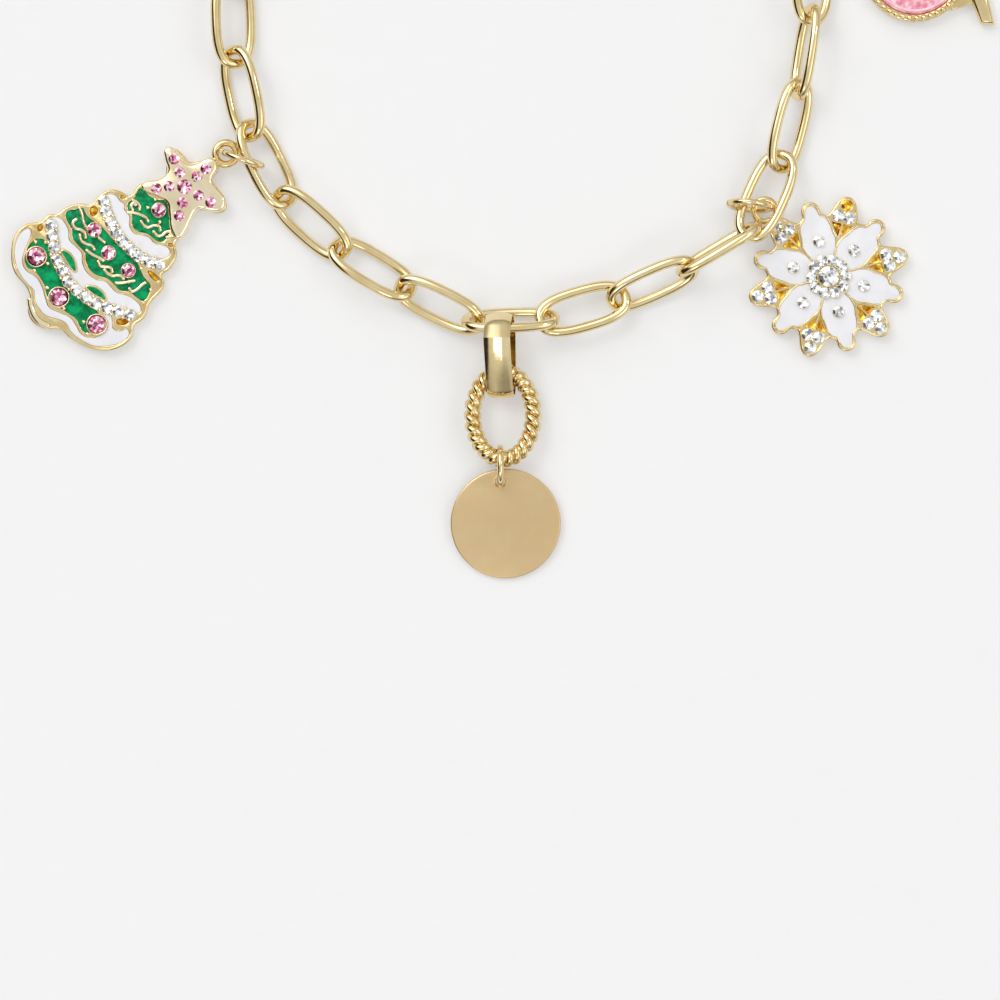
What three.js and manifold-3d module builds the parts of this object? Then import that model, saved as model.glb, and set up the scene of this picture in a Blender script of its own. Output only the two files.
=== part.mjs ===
// Charm necklace: a gold link chain laid in an oval loop on a flat surface, with a tree charm, a drop of
// bail, rope ring and disc, a snowflake charm and a round coin charm. Millimetres, +Z up, resting on z = 0.
// The links are laid out round the centre of the loop's lower arc; the whole is centred at the end.

import * as THREE from 'three';
import { mergeVertices } from 'three/addons/utils/BufferGeometryUtils.js';
import Module from 'manifold-3d';

const wasm = await Module();
wasm.setup();

// ---------------------------------------------------------------- driving dimensions

const LINK = { length: 13.1, width: 6.3, wire: 1.34 };
const CLASP = { length: 12.9, width: 7, wire: 1.6 };
const CLASP_RING = { length: 6.2, width: 6.2, wire: 1.2 };
const LINK_REACH = 10;             // from joint to joint on the evenly laid upper stretch
const EVEN_ROLL = 36;                // degrees that the evenly laid links lean, left and right in turn

const JUMP_RING = { radius: 2.77, wire: 0.87 };
const LARGE_JUMP_RING = { radius: 3.5, wire: 0.87 };
const CHARM_LOOP = { radius: 1.5, wire: 0.8, height: 1.65 };
const BASE_TOP = 0.9;                // a charm's base plate
const WALL_TOP = 1.6;                // the walls between its enamel cells
const FILL_GAP = 0.05;               // between an enamel filling and the metal round it
const OUTLINE_STEP = 0.85;           // length of the straight pieces that curved outlines are made of

// The lower links, from the upper left round to the upper right: the heading of each link's axis in
// degrees, the roll about that axis (positive lifts the left-hand rail), and the reach to the next joint.
const CHAIN_START = [-38.8, 5.6];
const LOWER_LINKS = [
  { heading: -88, roll: -24, reach: 9.95 },
  { heading: -78, roll: 40, reach: 9.95 },
  { heading: -64, roll: -34, reach: 9.95 },
  { heading: -42, roll: 35, reach: 10.1 },
  { heading: -31, roll: -36, reach: 10.1 },
  { heading: -26, roll: 40, reach: 10.05 },
  { heading: 2, roll: -65, reach: 9.8 },
  { heading: 16, roll: -10, reach: 9.8, lift: 0.06 },
  { heading: 24, roll: 47, reach: 9.8 },
  { heading: 31, roll: -79, reach: 10 },
  { heading: 66, roll: -16, reach: 9.8, lift: 1.5 },
  { heading: 76, roll: 44, reach: 9.85 },
  { heading: 81, roll: -72, reach: 10.05 },
  { heading: 88, roll: 30, reach: 9.95 },
];
const LINKS_BEFORE_CLASP = 12;       // evenly laid links from the lower right up to the clasp
const LINKS_AFTER_CLASP = 13;        // and from the clasp ring down to the first lower link

// ---------------------------------------------------------------- finishes

const gold = new THREE.MeshStandardMaterial({ color: '#d9bd7c', roughness: 0.2, metalness: 1 });
const satinGold = new THREE.MeshStandardMaterial({ color: '#cbb085', roughness: 0.4, metalness: 1 });
const greenEnamel = new THREE.MeshStandardMaterial({ color: '#058a50', roughness: 0.1, metalness: 0 });
const whiteEnamel = new THREE.MeshStandardMaterial({ color: '#eaeaf0', roughness: 0.15, metalness: 0 });
const pinkEnamel = new THREE.MeshStandardMaterial({ color: '#f0a3b8', roughness: 0.15, metalness: 0 });

// ---------------------------------------------------------------- shared shapes

const necklace = new THREE.Group();

function addPiece(parent, name, geometry, material) {
  const mesh = new THREE.Mesh(geometry, material);
  mesh.name = name;
  parent.add(mesh);
  return mesh;
}

// A mesh geometry as a solid for joining and cutting, and back again.
function solid(geometry) {
  geometry.deleteAttribute('normal');
  geometry.deleteAttribute('uv');
  const merged = mergeVertices(geometry, 1e-4);
  return new wasm.Manifold(new wasm.Mesh({
    numProp: 3,
    vertProperties: Float32Array.from(merged.attributes.position.array),
    triVerts: Uint32Array.from(merged.index.array),
  }));
}

function shell(body) {
  const { vertProperties, triVerts } = body.getMesh();
  const geometry = new THREE.BufferGeometry();
  geometry.setAttribute('position', new THREE.BufferAttribute(Float32Array.from(vertProperties), 3));
  geometry.setIndex(new THREE.BufferAttribute(Uint32Array.from(triVerts), 1));
  geometry.computeVertexNormals();
  return geometry;
}

function joined(bodies) {
  return bodies.reduce((whole, body) => whole.add(body));
}

function cut(body, tools) {
  return tools.reduce((rest, tool) => rest.subtract(tool), body);
}

// A closed shape through a few points, with every stretch between them a smooth curve.
function curvedShape(points) {
  const corners = points.map(([x, y]) => new THREE.Vector3(x, y, 0));
  const curve = new THREE.CatmullRomCurve3(corners, true, 'centripetal');
  const count = Math.round(curve.getLength() / OUTLINE_STEP);
  return new THREE.Shape(curve.getSpacedPoints(count).slice(0, -1).map(p => new THREE.Vector2(p.x, p.y)));
}

function slab(shape, bottom, top) {
  const geometry = new THREE.ExtrudeGeometry(shape, { depth: top - bottom, bevelEnabled: false });
  return solid(geometry.translate(0, 0, bottom));
}

function post([x, y], radius, bottom, top, sides = 10) {
  const geometry = new THREE.CylinderGeometry(radius, radius, top - bottom, sides);
  return solid(geometry.rotateX(Math.PI / 2).translate(x, y, (bottom + top) / 2));
}

function wireLoop([x, y], { radius, wire, height }) {
  return solid(new THREE.TorusGeometry(radius, wire / 2, 8, 16).translate(x, y, height));
}

// A closed round tube along a flat path: a torus whose rings are moved, one by one, to where
// place(step) says, each with the direction that points outwards from the path.
function tubeLoop(wire, sides, rings, place) {
  const geometry = new THREE.TorusGeometry(1, wire / 2, sides, rings);
  const position = geometry.attributes.position;
  for (let i = 0; i < position.count; i++) {
    const out = Math.hypot(position.getX(i), position.getY(i)) - 1;
    const { x, y, outX, outY } = place((i % (rings + 1)) % rings);
    position.setXY(i, x + outX * out, y + outY * out);
  }
  return geometry;
}

// A wire link lying along X: a long oval whose rails bow outwards and close in towards round ends.
// The path is a superellipse, a shape between an ellipse and a box.
const OVAL_POWER = 2.7;

function linkGeometry({ length, width, wire }) {
  const reach = (length - wire) / 2;
  const spread = (width - wire) / 2;
  const rings = 16;
  const eased = (value, power) => Math.sign(value) * Math.abs(value) ** power;
  return tubeLoop(wire, 6, rings, step => {
    const angle = 2 * Math.PI * step / rings;
    const x = eased(Math.cos(angle), 2 / OVAL_POWER);
    const y = eased(Math.sin(angle), 2 / OVAL_POWER);
    const outX = eased(x, OVAL_POWER - 1) / reach;
    const outY = eased(y, OVAL_POWER - 1) / spread;
    const size = Math.hypot(outX, outY);
    return { x: reach * x, y: spread * y, outX: outX / size, outY: outY / size };
  });
}

// The points from first to last, set out evenly along a smooth curve through a few others.
function spacedAlong(points, count) {
  const curve = new THREE.SplineCurve(points.map(([x, y]) => new THREE.Vector2(x, y)));
  return curve.getSpacedPoints(count - 1).map(p => [p.x, p.y]);
}

function inRadians(degrees) {
  return THREE.MathUtils.degToRad(degrees);
}

function polar(radius, degrees) {
  return [radius * Math.cos(inRadians(degrees)), radius * Math.sin(inRadians(degrees))];
}

// ---------------------------------------------------------------- the chain

function restHeight({ size, roll, lift = 0 }) {
  const bend = (size.width - size.wire) / 2;
  return bend * Math.abs(Math.sin(inRadians(roll))) + size.wire / 2 + lift;
}

// The upper stretch: straight up on the right, half round, and straight down on the left, with the
// straights as long as its links, clasp and clasp ring need.
function upperRoute(from, to, length) {
  const radius = (from.x - to.x) / 2;
  const middle = (from.x + to.x) / 2;
  const shoulder = (length - Math.PI * radius + from.y + to.y) / 2;
  const route = new THREE.CurvePath();
  route.add(new THREE.LineCurve(from.clone(), new THREE.Vector2(from.x, shoulder)));
  route.add(new THREE.EllipseCurve(middle, shoulder, radius, radius, 0, Math.PI));
  route.add(new THREE.LineCurve(new THREE.Vector2(to.x, shoulder), to.clone()));
  return route;
}

const beforeClasp = Array.from({ length: LINKS_BEFORE_CLASP }, (_, i) => ({
  size: LINK, roll: i % 2 ? EVEN_ROLL : -EVEN_ROLL, reach: LINK_REACH,
}));
const claspItems = [
  { name: 'clasp', size: CLASP, roll: -30, reach: 9.5 },
  { name: 'clasp_ring', size: CLASP_RING, roll: 93, reach: 3.4 },
];
const afterClasp = Array.from({ length: LINKS_AFTER_CLASP }, (_, i) => ({
  size: LINK, roll: i % 2 ? -EVEN_ROLL : EVEN_ROLL, reach: LINK_REACH,
}));
const lower = LOWER_LINKS.map(item => ({ ...item, size: LINK }));
const upper = [...beforeClasp, ...claspItems, ...afterClasp];
const chain = [...lower, ...upper];

const joints = [new THREE.Vector2(...CHAIN_START)];
for (const { heading, reach } of lower) {
  joints.push(joints.at(-1).clone().add(new THREE.Vector2(...polar(reach, heading))));
}
const upperLength = upper.reduce((sum, item) => sum + item.reach, 0);
const route = upperRoute(joints.at(-1), joints[0], upperLength);
let travelled = 0;
for (const { reach } of upper.slice(0, -1)) {
  travelled += reach;
  joints.push(route.getPoint(travelled / upperLength));
}

// A joint lies nearer the height of the higher of its two links, and a link lies level with its joints
// unless it must stand higher to rest on the surface.
const jointHeights = joints.map((_, i) => {
  const heights = [restHeight(chain[i]), restHeight(chain.at(i - 1))];
  return THREE.MathUtils.lerp(Math.min(...heights), Math.max(...heights), 0.85);
});
const geometryOf = new Map([LINK, CLASP, CLASP_RING].map(size => [size, linkGeometry(size)]));
let linkNumber = 0;
chain.forEach((item, i) => {
  const next = (i + 1) % chain.length;
  const run = joints[next].clone().sub(joints[i]);
  const tilt = Math.atan2(jointHeights[next] - jointHeights[i], run.length());
  const halfRail = (item.size.length - item.size.width) / 2;
  const middle = joints[i].clone().add(joints[next]).divideScalar(2);
  if (!item.name) linkNumber += 1;
  const name = item.name ?? `link_${String(linkNumber).padStart(2, '0')}`;
  const mesh = addPiece(necklace, name, geometryOf.get(item.size), gold);
  mesh.rotation.set(inRadians(item.roll), -tilt, run.angle(), 'ZYX');
  const level = (jointHeights[i] + jointHeights[next]) / 2;
  const resting = restHeight(item) + halfRail * Math.abs(Math.sin(tilt));
  mesh.position.set(middle.x, middle.y, Math.max(level, resting));
});

// ---------------------------------------------------------------- jump rings

// A jump ring stands on its edge: it runs along the heading and leans a little about it.
function addJumpRing(name, { radius, wire }, { at: [x, y], heading, lean }) {
  const geometry = new THREE.TorusGeometry(radius, wire / 2, 8, 16);
  const mesh = addPiece(necklace, name, geometry, gold);
  mesh.rotation.set(Math.PI / 2 + inRadians(lean), 0, inRadians(heading), 'ZYX');
  mesh.position.set(x, y, radius * Math.cos(inRadians(lean)) + wire / 2);
}

addJumpRing('tree_jump_ring', JUMP_RING, { at: [-37.4, -17.85], heading: -20, lean: 4 });
addJumpRing('snowflake_jump_ring', JUMP_RING, { at: [29.75, -24.1], heading: -6, lean: -8 });
addJumpRing('coin_jump_ring', LARGE_JUMP_RING, { at: [42.3, 12.8], heading: -13, lean: 4 });

// ---------------------------------------------------------------- tree charm

// The tree stands upright in its own frame, with the centre of its top loop at the origin.
const TREE_PLACE = { x: -39.6, y: -17.1, turn: -45 };
const STAR = { centre: [-0.6, -6.9], tip: 5.3, notch: 2.8, top: 2.5, slope: 0.55 };
const TREE_OUTLINE = [
  [-0.8, -1.6], [-2.1, -3.7], [-2.7, -4.2], [-4.1, -4.1], [-5.4, -4.4], [-5.8, -5.2], [-4.3, -6.9],
  [-3.6, -8.1], [-4.3, -9.6], [-5.2, -10.9], [-5.1, -13], [-6.1, -13.3], [-7.3, -14], [-7.9, -15.2],
  [-8.1, -17.4], [-9.2, -18.5], [-10, -20.2], [-10.2, -21.5], [-10.9, -22.3], [-11, -23.7],
  [-12.1, -25.3], [-12.2, -27.3], [-10.9, -29.4], [-8.9, -30.9], [-6, -31.3], [-4.9, -31.9],
  [-3.9, -33.3], [-2.3, -33.9], [-0.6, -33.4], [0.9, -32], [2.7, -31.9], [5, -31.2], [7, -29.9],
  [8.2, -28], [8.3, -26], [7.5, -24.7], [7.7, -23.1], [6.9, -21.3], [6.4, -18], [5.4, -17.6], [5.5, -16],
  [4.9, -14.2], [3.6, -13.1], [3.7, -11.6], [2.7, -9.4], [2.5, -8.2], [3.5, -7.2], [5.1, -5.9], [5, -4.9],
  [2.8, -4.1], [1.2, -3.7], [0.6, -2],
];
const TREE_CELLS = {
  tree_green_top: {
    material: greenEnamel,
    points: [
      [-4.8, -11.3], [-4.9, -12], [-4.5, -12.5], [-4.5, -13.3], [-4.5, -13.9], [-3.9, -14.4],
      [-3.1, -14.5], [-2, -15.5], [-1, -15.5], [0.2, -14.8], [1, -14.7], [1.7, -14.6], [2.3, -14.1],
      [2.2, -13.2], [1.9, -12.2], [0.6, -10.9], [-0.7, -9.9], [-2.2, -10.8], [-3.2, -11.2], [-4.1, -11.2],
    ],
  },
  tree_green_middle: {
    material: greenEnamel,
    points: [
      [-9.4, -20.6], [-9.3, -19.9], [-8.8, -19.3], [-8.5, -18.6], [-7.3, -18.9], [-6.3, -18.8],
      [-5, -18.5], [-4, -18.6], [-2.8, -18.7], [-1.3, -18.7], [-0.1, -18.6], [1.4, -18.5], [2.5, -18.8],
      [3.7, -19.3], [5.2, -19.5], [5.9, -20.5], [6, -21.5], [5.2, -21.8], [3.8, -22], [2.8, -22.7],
      [1.7, -22.7], [0.5, -22.8], [-0.6, -23.4], [-1.7, -23.6], [-3, -23.2], [-3.9, -22.5], [-5.3, -22.4],
      [-6.5, -22.2], [-7.3, -21.5], [-8.4, -21.2],
    ],
  },
  tree_green_bottom: {
    material: greenEnamel,
    points: [
      [-9.9, -26.4], [-9.6, -25.5], [-8.6, -25.1], [-7.5, -25.7], [-6.3, -26.5], [-4.9, -27],
      [-3.6, -27.3], [-2.2, -27.4], [-0.3, -27.4], [1.5, -27.2], [2.9, -26.9], [4, -27.4], [4.6, -28.6],
      [4, -29.5], [3.4, -30], [2.4, -29.8], [1.4, -29.5], [0.3, -29.7], [-0.8, -29.9], [-2.3, -30.3],
      [-3.6, -30], [-4.5, -29.4], [-5.8, -29], [-7, -28.9], [-8.1, -29.2], [-9.4, -28.1],
    ],
  },
  tree_white_top: {
    material: whiteEnamel,
    points: [
      [-7.4, -15.7], [-7.2, -14.8], [-6.5, -14.3], [-5.4, -14.4], [-4.8, -14.3], [-4.3, -14.8],
      [-3.3, -14.9], [-2.2, -15.9], [-1.1, -16.1], [-0.2, -15.5], [0.7, -15.1], [1.8, -15.1],
      [2.7, -14.5], [3.5, -14.3], [4.1, -14.7], [4, -15.6], [2.9, -16.5], [1.4, -17], [-0.2, -17.2],
      [-1.5, -17.2], [-2.9, -16.9], [-4.4, -16.4], [-5.7, -15.9], [-6.6, -15.9],
    ],
  },
  tree_white_middle: {
    material: whiteEnamel,
    points: [
      [-10.3, -23.1], [-10.3, -22.2], [-9.5, -21.6], [-8.8, -21.6], [-7.6, -22], [-6.6, -22.8],
      [-5.2, -22.8], [-4.2, -22.9], [-3.3, -23.7], [-1.9, -24.2], [-0.4, -24], [0.7, -23.3], [1.6, -23.3],
      [2.7, -23.3], [4, -22.6], [5.2, -22.3], [6.3, -22.4], [6.8, -23], [5.8, -23.6], [4.4, -24.4],
      [3, -25.1], [1.6, -25.7], [0.3, -26.1], [-1.2, -26.3], [-2.8, -26.2], [-4.3, -25.8], [-5.7, -25.2],
      [-7, -24.3], [-8.2, -23.4], [-9.2, -22.7],
    ],
  },
  tree_white_base: {
    material: whiteEnamel,
    points: [
      [-11.4, -25.5], [-11.8, -26.4], [-11.6, -27.5], [-10.9, -28.7], [-9.7, -29.8], [-8.2, -30.5],
      [-6.5, -30.8], [-5.2, -30.8], [-4.2, -31.6], [-3, -32], [-1.7, -32], [-0.5, -31.4], [0.7, -30.9],
      [2.2, -31.2], [3.9, -31], [5.7, -30.3], [7.1, -28.8], [7.9, -27.3], [7.7, -25.9], [7.1, -25.8],
      [6.7, -26.6], [5.8, -27], [4.9, -26.3], [4, -26], [3.8, -26.5], [4.8, -26.9], [5.3, -27.8],
      [5.2, -28.9], [4.4, -30.1], [3.2, -30.5], [2.1, -30.2], [0.7, -30], [-0.7, -30.5], [-2.2, -31],
      [-3.4, -30.5], [-4.7, -29.8], [-6.2, -29.4], [-7.8, -29.7], [-8.9, -29.3], [-9.8, -28],
      [-10.3, -26.8], [-10.8, -25.8],
    ],
  },
};
// Hollows left bare of enamel where one lobe of snow curls over the next, with the length, width and
// direction of each.
const TREE_SCOOPS = [
  { at: [-5.9, -13.7], length: 1, width: 0.5, turn: 20 },
  { at: [-7.5, -18.1], length: 1.6, width: 0.8, turn: -30 },
  { at: [-10.3, -24.7], length: 1.3, width: 0.7, turn: -60 },
  { at: [6.2, -26.1], length: 1.3, width: 0.6, turn: 45 },
  { at: [5.1, -18.5], length: 1.5, width: 0.6, turn: -80 },
];
const STONE_SEATS = [
  { radius: 0.95, top: 2.1, at: [[-0.8, -11.5], [-5.2, -19.2], [-1.7, -20.2], [1.9, -20]] },
  { radius: 1.45, top: 2.2, at: [[-8.1, -27.4], [-2.2, -29], [3.9, -28.1]] },
  {
    radius: 0.72, top: 2,
    at: [
      ...spacedAlong([[-7.2, -15.6], [-4.5, -17.2], [-1.4, -18], [1.6, -17.8], [4.3, -16.7]], 9),
      ...spacedAlong([
        [-9.6, -23.2], [-5.8, -25.7], [-2.7, -26.6], [0.6, -26.5], [3.4, -25.5], [6.2, -24],
      ], 12),
    ],
  },
];

function starShape({ centre, tip, notch }) {
  const corners = Array.from({ length: 10 }, (_, i) => {
    const [x, y] = polar(i % 2 ? notch : tip, 90 + 36 * i);
    return new THREE.Vector2(centre[0] + x, centre[1] + y);
  });
  return new THREE.Shape(corners);
}

function starBody(star) {
  const geometry = new THREE.ExtrudeGeometry(starShape(star), {
    depth: star.top - 2 * star.slope, bevelThickness: star.slope, bevelSize: star.slope,
    bevelOffset: -star.slope, bevelSegments: 1,
  });
  return solid(geometry.translate(0, 0, star.slope));
}

function scoopBody({ at, length, width, turn }) {
  const geometry = new THREE.CylinderGeometry(1, 1, WALL_TOP, 16);
  geometry.rotateX(Math.PI / 2).scale(length, width, 1);
  return solid(geometry.rotateZ(inRadians(turn)).translate(...at, BASE_TOP + WALL_TOP / 2));
}

function buildTree() {
  const tree = new THREE.Group();
  tree.position.set(TREE_PLACE.x, TREE_PLACE.y, 0);
  tree.rotation.z = inRadians(TREE_PLACE.turn);
  const outline = curvedShape(TREE_OUTLINE);
  const cells = Object.entries(TREE_CELLS).map(([name, { material, points }]) => (
    { name, material, shape: curvedShape(points) }
  ));
  const seats = STONE_SEATS.flatMap(({ radius, top, at }) => at.map(place => post(place, radius, 0.2, top)));
  const star = starBody(STAR);
  const walls = cut(slab(outline, BASE_TOP / 2, WALL_TOP), [
    ...cells.map(({ shape }) => slab(shape, BASE_TOP, WALL_TOP + 1)),
    ...TREE_SCOOPS.map(scoopBody),
  ]);
  const metal = joined([slab(outline, 0, BASE_TOP), walls, star, wireLoop([0, 0], CHARM_LOOP), ...seats]);
  addPiece(tree, 'tree_casting', shell(metal), gold);
  const clearance = [
    ...STONE_SEATS.flatMap(({ radius, top, at }) => {
      return at.map(place => post(place, radius + FILL_GAP, 0.2, top));
    }),
    solid(new THREE.ExtrudeGeometry(starShape(STAR), {
      depth: STAR.top, bevelThickness: 0.1, bevelSize: FILL_GAP, bevelSegments: 1,
    })),
  ];
  for (const { name, material, shape } of cells) {
    const filling = cut(shrunkSlab(shape, FILL_GAP, BASE_TOP + FILL_GAP, WALL_TOP - FILL_GAP), clearance);
    addPiece(tree, name, shell(largestBody(filling)), material);
  }
  return tree;
}

// A slab whose outline is drawn in by a small inset all round.
function shrunkSlab(shape, inset, bottom, top) {
  const geometry = new THREE.ExtrudeGeometry(shape, {
    depth: top - bottom, bevelSegments: 0, bevelThickness: 0, bevelSize: 0, bevelOffset: -inset,
  });
  return solid(geometry.translate(0, 0, bottom));
}

// What cutting leaves of a filling, without the slivers between a seat and the cell's edge.
function largestBody(body) {
  return body.decompose().reduce((best, part) => (part.volume() > best.volume() ? part : best));
}

necklace.add(buildTree());

// ---------------------------------------------------------------- snowflake charm

// Six petals filled with enamel and, between them, six clusters of three stones.
const SNOWFLAKE_PLACE = { x: 40.25, y: -33.4, turn: 75.5 };
const SNOWFLAKE_LOOP = { radius: 12.2, angle: 58.5 };
const ROSETTE = { radius: 3, top: 1.9, post: 1.2 };
const CLUSTER_SEATS = [
  { radius: 8.2, offset: 5.3 }, { radius: 8.2, offset: -5.3 }, { radius: 9.75, offset: 0 },
];
const CLUSTER_SEAT_RADIUS = 0.85;
// Radius and angle of the rim, from the middle of a cluster to the middle of the next petal.
const RIM_POINTS = [
  [10.9, 0], [10.6, 4.5], [9.6, 8.8], [8.7, 12], [8.2, 15.5], [8.3, 19], [8.6, 21.8], [9.3, 22.5],
  [9.9, 25], [10.15, 28],
];
// Radius and angle of an enamel cell's edge, from the rosette out to the tip, from the petal's middle.
const PETAL_POINTS = [
  [2.4, 24], [4.9, 27.4], [6.1, 20.6], [7.3, 16], [7.9, 12.3], [8.2, 7.9], [9, 5.8], [9.6, 3.2], [9.8, 0],
];
const HOLLOW = { from: 5.3, to: 7.3, width: 1.45, divider: 0.15, floor: 0.45 };

function mirrored(points) {
  const back = points.filter(([, degrees]) => degrees > 0).map(([radius, degrees]) => [radius, -degrees]);
  return [...points, ...back.reverse()];
}

function snowflakeRim() {
  const points = [];
  for (let sector = 0; sector < 6; sector++) {
    const rising = RIM_POINTS.map(([radius, degrees]) => polar(radius, 60 * sector + degrees));
    const falling = RIM_POINTS.slice(1).reverse().map(([radius, degrees]) => (
      polar(radius, 60 * (sector + 1) - degrees)
    ));
    points.push(...rising, ...falling);
  }
  return curvedShape(points);
}

function hollowShape(side) {
  const { from, to, width, divider } = HOLLOW;
  return new THREE.Shape([[from, divider], [to, width], [to, divider]]
    .map(([x, y]) => new THREE.Vector2(x, side * y)));
}

function turned(body, degrees) {
  return body.rotate([0, 0, degrees]);
}

function buildSnowflake() {
  const snowflake = new THREE.Group();
  snowflake.position.set(SNOWFLAKE_PLACE.x, SNOWFLAKE_PLACE.y, 0);
  snowflake.rotation.z = inRadians(SNOWFLAKE_PLACE.turn);
  const rim = snowflakeRim();
  const petal = curvedShape(mirrored(PETAL_POINTS).map(([radius, degrees]) => polar(radius, degrees)));
  const petalAngles = [30, 90, 150, 210, 270, 330];
  const clusterAngles = [0, 60, 120, 180, 240, 300];
  const channel = slab(ringShape(ROSETTE.post, ROSETTE.radius + 0.1), BASE_TOP, BASE_TOP + 0.4);
  const pockets = petalAngles.map(angle => turned(slab(petal, BASE_TOP, ROSETTE.top + 1), angle));
  const hollows = clusterAngles.flatMap(angle => [1, -1].map(side => (
    turned(slab(hollowShape(side), HOLLOW.floor, WALL_TOP + 1), angle)
  )));
  const seats = clusterAngles.flatMap(angle => CLUSTER_SEATS.map(({ radius, offset }) => (
    post(polar(radius, angle + offset), CLUSTER_SEAT_RADIUS, 0.2, ROSETTE.top)
  )));
  const walls = cut(slab(rim, 0, WALL_TOP), [...pockets, ...hollows]);
  const rosette = post([0, 0], ROSETTE.radius, 0.2, ROSETTE.top, 30);
  const loop = wireLoop(polar(SNOWFLAKE_LOOP.radius, SNOWFLAKE_LOOP.angle), CHARM_LOOP);
  const metal = cut(joined([walls, rosette, loop, ...seats]), [channel]);
  addPiece(snowflake, 'snowflake_casting', shell(metal), gold);

  const fillings = petalAngles.map(angle => (
    turned(shrunkSlab(petal, FILL_GAP, BASE_TOP + FILL_GAP, WALL_TOP - FILL_GAP), angle)
  ));
  const linkingShape = ringShape(ROSETTE.post + FILL_GAP, ROSETTE.radius);
  const linking = slab(linkingShape, BASE_TOP + FILL_GAP, BASE_TOP + 0.35);
  const clear = joined([
    ...clusterAngles.flatMap(angle => CLUSTER_SEATS.map(({ radius, offset }) => (
      post(polar(radius, angle + offset), CLUSTER_SEAT_RADIUS + FILL_GAP, 0.2, ROSETTE.top)
    ))),
    cut(post([0, 0], ROSETTE.radius + FILL_GAP, 0.2, ROSETTE.top, 30), [
      slab(ringShape(ROSETTE.post + FILL_GAP, ROSETTE.radius + 1), BASE_TOP, BASE_TOP + 0.35),
    ]),
  ]);
  const enamel = joined([linking, ...fillings]).subtract(clear);
  addPiece(snowflake, 'snowflake_enamel', shell(largestBody(enamel)), whiteEnamel);
  return snowflake;
}

function ringShape(inner, outer) {
  const shape = new THREE.Shape().absarc(0, 0, outer, 0, 2 * Math.PI);
  shape.holes.push(new THREE.Path().absarc(0, 0, inner, 0, 2 * Math.PI));
  return shape;
}

necklace.add(buildSnowflake());

// ---------------------------------------------------------------- centre drop

// The bail is a flat strap closed into a loop, wide round the link and narrow round the rope ring.
const BAIL = { upper: 3.45, lower: 2.15, centres: 6, strap: 0.55, width: 3.5 };
const BAIL_PLACE = { x: -3.33, y: -41.66, heading: -88, slope: 15.7, lean: 7, lift: 0.52 };

function strapPath(Path, upper, lower, centres) {
  const tangent = Math.acos((upper - lower) / centres);
  return new Path()
    .absarc(0, 0, upper, tangent, 2 * Math.PI - tangent)
    .absarc(centres, 0, lower, -tangent, tangent);
}

function bailGeometry({ upper, lower, centres, strap, width }) {
  const shape = strapPath(THREE.Shape, upper, lower, centres);
  shape.holes.push(strapPath(THREE.Path, upper - strap, lower - strap, centres));
  const geometry = new THREE.ExtrudeGeometry(shape, { depth: width, bevelEnabled: false, curveSegments: 12 });
  return geometry.translate(0, 0, -width / 2).rotateX(Math.PI / 2);
}

const bail = addPiece(necklace, 'bail', bailGeometry(BAIL), gold);
bail.rotation.set(
  inRadians(BAIL_PLACE.lean), inRadians(BAIL_PLACE.slope), inRadians(BAIL_PLACE.heading), 'ZYX',
);
const bailEdge = BAIL.width / 2 * Math.sin(inRadians(BAIL_PLACE.lean));
bail.position.set(BAIL_PLACE.x, BAIL_PLACE.y, BAIL.upper + bailEdge + BAIL_PLACE.lift);

const ROPE_RING = { halfWidth: 3.97, halfHeight: 5.83, wire: 2 };
const ROPE_RING_PLACE = { x: -3, y: -51.8, height: 2.55, lean: -2.5 };
const ropeRings = 28;
const ropeGeometry = tubeLoop(ROPE_RING.wire, 8, ropeRings, step => {
  const angle = step / ropeRings * 2 * Math.PI;
  const x = ROPE_RING.halfWidth * Math.cos(angle);
  const y = ROPE_RING.halfHeight * Math.sin(angle);
  const out = new THREE.Vector2(x / ROPE_RING.halfWidth ** 2, y / ROPE_RING.halfHeight ** 2);
  out.normalize();
  return { x, y, outX: out.x, outY: out.y };
});
const ropeRing = addPiece(necklace, 'rope_ring', ropeGeometry, gold);
ropeRing.rotation.x = inRadians(ROPE_RING_PLACE.lean);
ropeRing.position.set(ROPE_RING_PLACE.x, ROPE_RING_PLACE.y, ROPE_RING_PLACE.height);

const DISC_RING = { radius: 2.45, wire: 0.86, x: -3.25, y: -58.5 };
const discRingGeometry = new THREE.TorusGeometry(DISC_RING.radius, DISC_RING.wire / 2, 8, 16);
const discRing = addPiece(necklace, 'disc_ring', discRingGeometry.rotateY(Math.PI / 2), gold);
discRing.position.set(DISC_RING.x, DISC_RING.y, DISC_RING.radius + DISC_RING.wire / 2);

const DISC = { radius: 7.3, thickness: 0.7, hole: 1.05, holeAt: [-0.7, 5.62] };
const DISC_PLACE = { x: -2.55, y: -66.1, lean: 5 };

const discShape = new THREE.Shape().absarc(0, 0, DISC.radius, 0, 2 * Math.PI);
discShape.holes.push(new THREE.Path().absarc(...DISC.holeAt, DISC.hole, 0, 2 * Math.PI));
const discGeometry = new THREE.ExtrudeGeometry(discShape, {
  depth: DISC.thickness, bevelEnabled: false, curveSegments: 24,
});
const disc = addPiece(necklace, 'disc', discGeometry.translate(0, 0, -DISC.thickness / 2), satinGold);
const discLean = inRadians(DISC_PLACE.lean);
const discHeight = DISC.radius * Math.sin(discLean) + DISC.thickness / 2 * Math.cos(discLean);
disc.rotation.x = discLean;
disc.position.set(DISC_PLACE.x, DISC_PLACE.y, discHeight);

// ---------------------------------------------------------------- coin charm

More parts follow.
